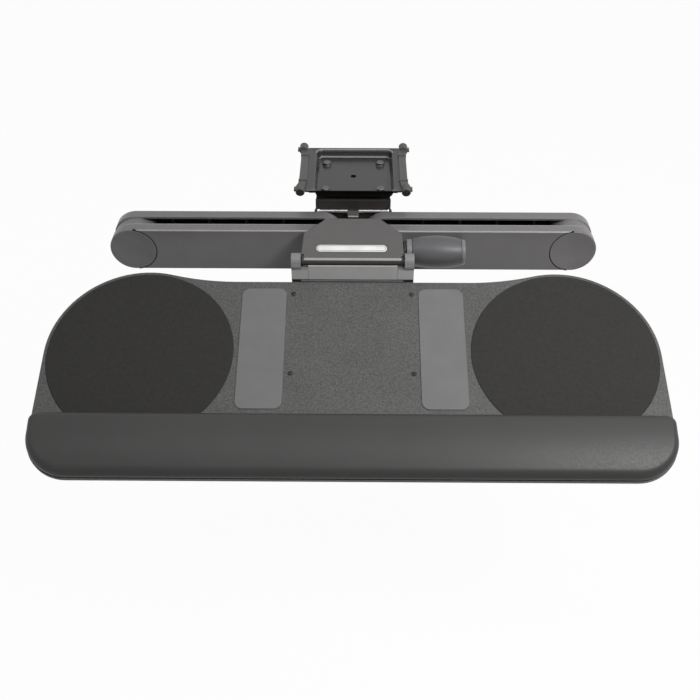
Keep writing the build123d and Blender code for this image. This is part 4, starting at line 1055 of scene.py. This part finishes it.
class TRAY_OT_mouse_pads(bpy.types.Operator):
    """Two cloth mouse pads, round behind and cut straight by the palm rest"""
    bl_idname = "tray.mouse_pads"
    bl_label = "Mouse pads"
    drawn_in, top, bottom = 0.0002, 0.0008, -0.0012
    centre_run, cut_run = 0.097, 0.174
    arc_steps, chord_steps = 144, 48

    def execute(self, context):
        for side, word in SIDES:
            node = "mouse_pad_" + word
            low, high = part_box(node)
            radius = (high.x - low.x) / 2 - self.drawn_in
            centre_x = (high.x + low.x) / 2 - side * self.drawn_in
            reach = self.cut_run - self.centre_run
            first = math.atan2(-reach, math.sqrt(radius ** 2 - reach ** 2))
            outline = []
            for turn in spread(first, math.pi - first, self.arc_steps):
                outline.append(Vector((radius * math.cos(turn), radius * math.sin(turn))))
            start, end = outline[-1], outline[0]
            outline += [start.lerp(end, share) for share in spread(0.0, 1.0, self.chord_steps)[1:-1]]
            edge = sizes().pad_edge
            levels = [(1.0, self.bottom)]
            for turn in spread(0.0, math.pi / 2, 4):
                inset = edge * (1 - math.cos(turn))
                levels.append((1 - inset / radius, self.top - edge + edge * math.sin(turn)))
            levels += [(share, self.top) for share in (0.97, 0.85, 0.6, 0.3, 0.05)]
            middle = Vector((0.0, radius * 0.12))
            rings = []
            for share, up in levels:
                spots = [middle + (point - middle) * share for point in outline]
                rings.append([tray_point(centre_x + spot.x, self.centre_run - spot.y, up) for spot in spots])
            shape = bmesh.new()
            loft(shape, rings)
            pad = from_bmesh("pad_" + word, shape, "pad_cloth")
            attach(pad, "tray")
            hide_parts(node)
        return {"FINISHED"}


class TRAY_OT_palm_rest(bpy.types.Operator):
    """The soft crowned palm rest across the front of the board"""
    bl_idname = "tray.palm_rest"
    bl_label = "Palm rest"
    half, rear, front = 0.3422, 0.1764, 0.2462
    front_corner, rear_corner = 0.0455, 0.01
    height, crown_run = 0.0185, 0.204
    widening_start, widening_run = 0.004, 0.022
    rows = 44
    # Down from the top's border past a welt: how far the wall is drawn in, and its height
    wall = ((0.0, 0.0052), (0.0004, 0.0047), (0.0, 0.0042),
            (0.0003, 0.0032), (0.0016, 0.0023), (0.003, 0.002))

    def execute(self, context):
        rows, lines = self.rows, []
        for x in self.columns():
            start, end = self.reach(x)
            lines.append([(x, start + (end - start) * (1 - math.cos(turn)) / 2)
                          for turn in spread(0.0, math.pi, rows)])
        shape = bmesh.new()
        made = [[shape.verts.new(tray_point(*spot, self.up(*spot))) for spot in line] for line in lines]
        for first, second in zip(made, made[1:]):
            for k in range(rows):
                shape.faces.new((first[k], first[k + 1], second[k + 1], second[k]))
        last = len(lines) - 1
        border = [(i, 0) for i in range(last)] + [(last, k) for k in range(rows)]
        border += [(last - i, rows) for i in range(last)] + [(0, rows - k) for k in range(rows)]
        above = [made[i][k] for i, k in border]
        for inset, up in self.wall:
            below = []
            for i, k in border:
                spot = self.inward(*lines[i][k], inset)
                below.append(shape.verts.new(tray_point(spot.x, spot.y, min(up, self.up(*lines[i][k])))))
            for j in range(len(border)):
                n = (j + 1) % len(border)
                shape.faces.new((above[j], below[j], below[n], above[n]))
            above = below
        shape.faces.new(above)
        cushion = from_bmesh("palm_cushion", shape, "palm_skin")
        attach(cushion, "tray")
        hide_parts("palm_rest")
        return {"FINISHED"}

    def columns(self):
        """Places along the rest, closer together towards the ends of the corners."""
        straight = self.half - self.front_corner
        corner = [straight + self.front_corner * math.sin(turn) for turn in spread(0.0, math.pi / 2, 30)[1:]]
        return [-x for x in reversed(corner)] + spread(-straight, straight, 90) + corner

    def reach(self, x):
        """Where the rest starts and ends along the tray, at one place across it."""
        drawn = []
        for corner in (self.rear_corner, self.front_corner):
            out = max(abs(x) - (self.half - corner), 0.0)
            drawn.append(corner - math.sqrt(max(corner ** 2 - out ** 2, 0.0)))
        return self.rear + drawn[0], self.front - drawn[1]

    def corner(self, x, run):
        """The centre and the radius of the corner that a place lies in, if it lies in one."""
        front_x, front_run = self.half - self.front_corner, self.front - self.front_corner
        rear_x, rear_run = self.half - self.rear_corner, self.rear + self.rear_corner
        if abs(x) > front_x and run > front_run:
            return front_x, front_run, self.front_corner
        if abs(x) > rear_x and run < rear_run:
            return rear_x, rear_run, self.rear_corner
        return None

    def depth(self, x, run):
        """How far a place lies inside the outline."""
        corner = self.corner(x, run)
        if corner:
            return corner[2] - math.hypot(abs(x) - corner[0], run - corner[1])
        return min(self.half - abs(x), run - self.rear, self.front - run)

    def up(self, x, run):
        """The height of the top above the board."""
        crown, rear_round, front_round = sizes().palm_crown, sizes().palm_rear_round, sizes().palm_round
        top = self.height - crown + math.sqrt(crown ** 2 - (run - self.crown_run) ** 2)
        share = min(max((run - self.rear - self.widening_start) / self.widening_run, 0.0), 1.0)
        share = share * share * (3 - 2 * share)
        radius = rear_round + (front_round - rear_round) * share
        inside = min(max(self.depth(x, run), 0.0), radius)
        return top - radius + math.sqrt(radius ** 2 - (radius - inside) ** 2)

    def inward(self, x, run, inset):
        """A place of the outline, moved in."""
        corner = self.corner(x, run)
        if corner:
            spoke = Vector((abs(x) - corner[0], run - corner[1])).normalized()
        elif abs(x) > self.half - 1e-5:
            spoke = Vector((1.0, 0.0))
        else:
            spoke = Vector((0.0, 1.0 if run > self.front - self.front_corner else -1.0))
        return Vector((math.copysign(abs(x) - spoke.x * inset, x), run - spoke.y * inset))


class TRAY_OT_stage(bpy.types.Operator):
    """Floor, lights, sky and camera"""
    bl_idname = "tray.stage"
    bl_label = "Stage"
    white, grey = (1.0, 1.0, 1.0), (0.3, 0.3, 0.3)

    def execute(self, context):
        scene = context.scene
        settings = scene.tray_stage
        low, reach = CAD_BOX[0][2] - settings.floor_drop, 8.0
        shape = bmesh.new()
        shape.faces.new([shape.verts.new((x * reach, y * reach, low))
                         for x, y in ((-1, -1), (1, -1), (1, 1), (-1, 1))])
        floor = from_bmesh("floor", shape)
        if floor.data.polygons[0].normal.z < 0:
            floor.data.flip_normals()
        floor.data.materials.append(self.floor_material(settings.floor_glow))

        self.area_light("key", (0.2, -0.5, 0.92), (0.2, -0.15, -0.1), (1.6, 0.14), settings.key_power)
        self.area_light("rim", (0.1, 0.14, 0.95), (0.05, -0.1, -0.05), (1.6, 0.18), settings.rim_power)
        self.area_light("front", (0.68, -0.68, 0.78), (0.05, -0.15, -0.08), (0.4, 0.3), settings.front_power)

        scene.world = bpy.data.worlds.new("studio")
        sky = Nodes(emptied(scene.world))
        soft, plain = (sky.node("ShaderNodeBackground", {"Color": self.white, "Strength": strength})
                       for strength in (settings.ambient, 1.0))
        sky.node("ShaderNodeOutputWorld", {"Surface": sky.mixed(sky.seen_rays(), soft, plain).outputs[0]})

        camera = bpy.data.objects.new("camera", bpy.data.cameras.new("camera"))
        scene.collection.objects.link(camera)
        camera.location = settings.camera_place
        camera.rotation_euler = (math.pi / 2 - settings.camera_pitch, 0.0, settings.camera_yaw)
        camera.data.lens = settings.camera_lens
        camera.data.sensor_width = 36.0
        camera.data.clip_start = 0.01
        scene.camera = camera
        scene.view_settings.view_transform = "Standard"
        return {"FINISHED"}

    def floor_material(self, glow):
        """White to the camera, with the object's shadow kept, and darker to soft light."""
        material = bpy.data.materials.new("floor_white")
        nodes = Nodes(emptied(material))
        pale = nodes.node("ShaderNodeBsdfDiffuse", {"Color": self.white})
        dull = nodes.node("ShaderNodeBsdfDiffuse", {"Color": self.grey})
        bright = nodes.node("ShaderNodeEmission", {"Color": self.white, "Strength": 1.0})
        mix = nodes.mixed(nodes.seen_rays(), dull, nodes.mixed(glow, pale, bright))
        nodes.node("ShaderNodeOutputMaterial", {"Surface": mix.outputs[0]})
        return material

    def area_light(self, name, place, target, size, power):
        light = bpy.data.lights.new(name, "AREA")
        light.shape = "RECTANGLE"
        light.size, light.size_y = size
        light.energy = power
        holder = bpy.data.objects.new(name, light)
        bpy.context.scene.collection.objects.link(holder)
        holder.location = place
        holder.rotation_euler = (Vector(target) - Vector(place)).to_track_quat("-Z", "Y").to_euler()


OPERATORS = (
    TRAY_OT_finishes,
    TRAY_OT_trolley_pan,
    TRAY_OT_pan_bolts,
    TRAY_OT_bumpers,
    TRAY_OT_rod_curls,
    TRAY_OT_cover_details,
    TRAY_OT_knuckle_caps,
    TRAY_OT_tray_screws,
    TRAY_OT_mouse_pads,
    TRAY_OT_palm_rest,
    TRAY_OT_stage,
)
GROUPS = {"tray_sizes": TraySizes, "tray_colours": TrayColours, "tray_stage": TrayStage}


class TRAY_PT_panel(bpy.types.Panel):
    """Lists the steps and their values in the sidebar"""
    bl_idname = "TRAY_PT_panel"
    bl_label = "Keyboard tray"
    bl_space_type = "VIEW_3D"
    bl_region_type = "UI"
    bl_category = "Tray"

    def draw(self, context):
        for step in OPERATORS:
            self.layout.operator(step.bl_idname)
        for name in GROUPS:
            group = getattr(context.scene, name)
            box = self.layout.box()
            for key in group.bl_rna.properties.keys():
                if key not in ("rna_type", "name"):
                    box.prop(group, key)


CLASSES = (*GROUPS.values(), *OPERATORS, TRAY_PT_panel)


def register():
    for item in CLASSES:
        bpy.utils.register_class(item)
    for name, group in GROUPS.items():
        setattr(bpy.types.Scene, name, bpy.props.PointerProperty(type=group))


def unregister():
    for name in GROUPS:
        delattr(bpy.types.Scene, name)
    for item in reversed(CLASSES):
        bpy.utils.unregister_class(item)


def main():
    register()
    for step in OPERATORS:
        group, name = step.bl_idname.split(".")
        getattr(getattr(bpy.ops, group), name)()


if __name__ == "__main__":
    main()
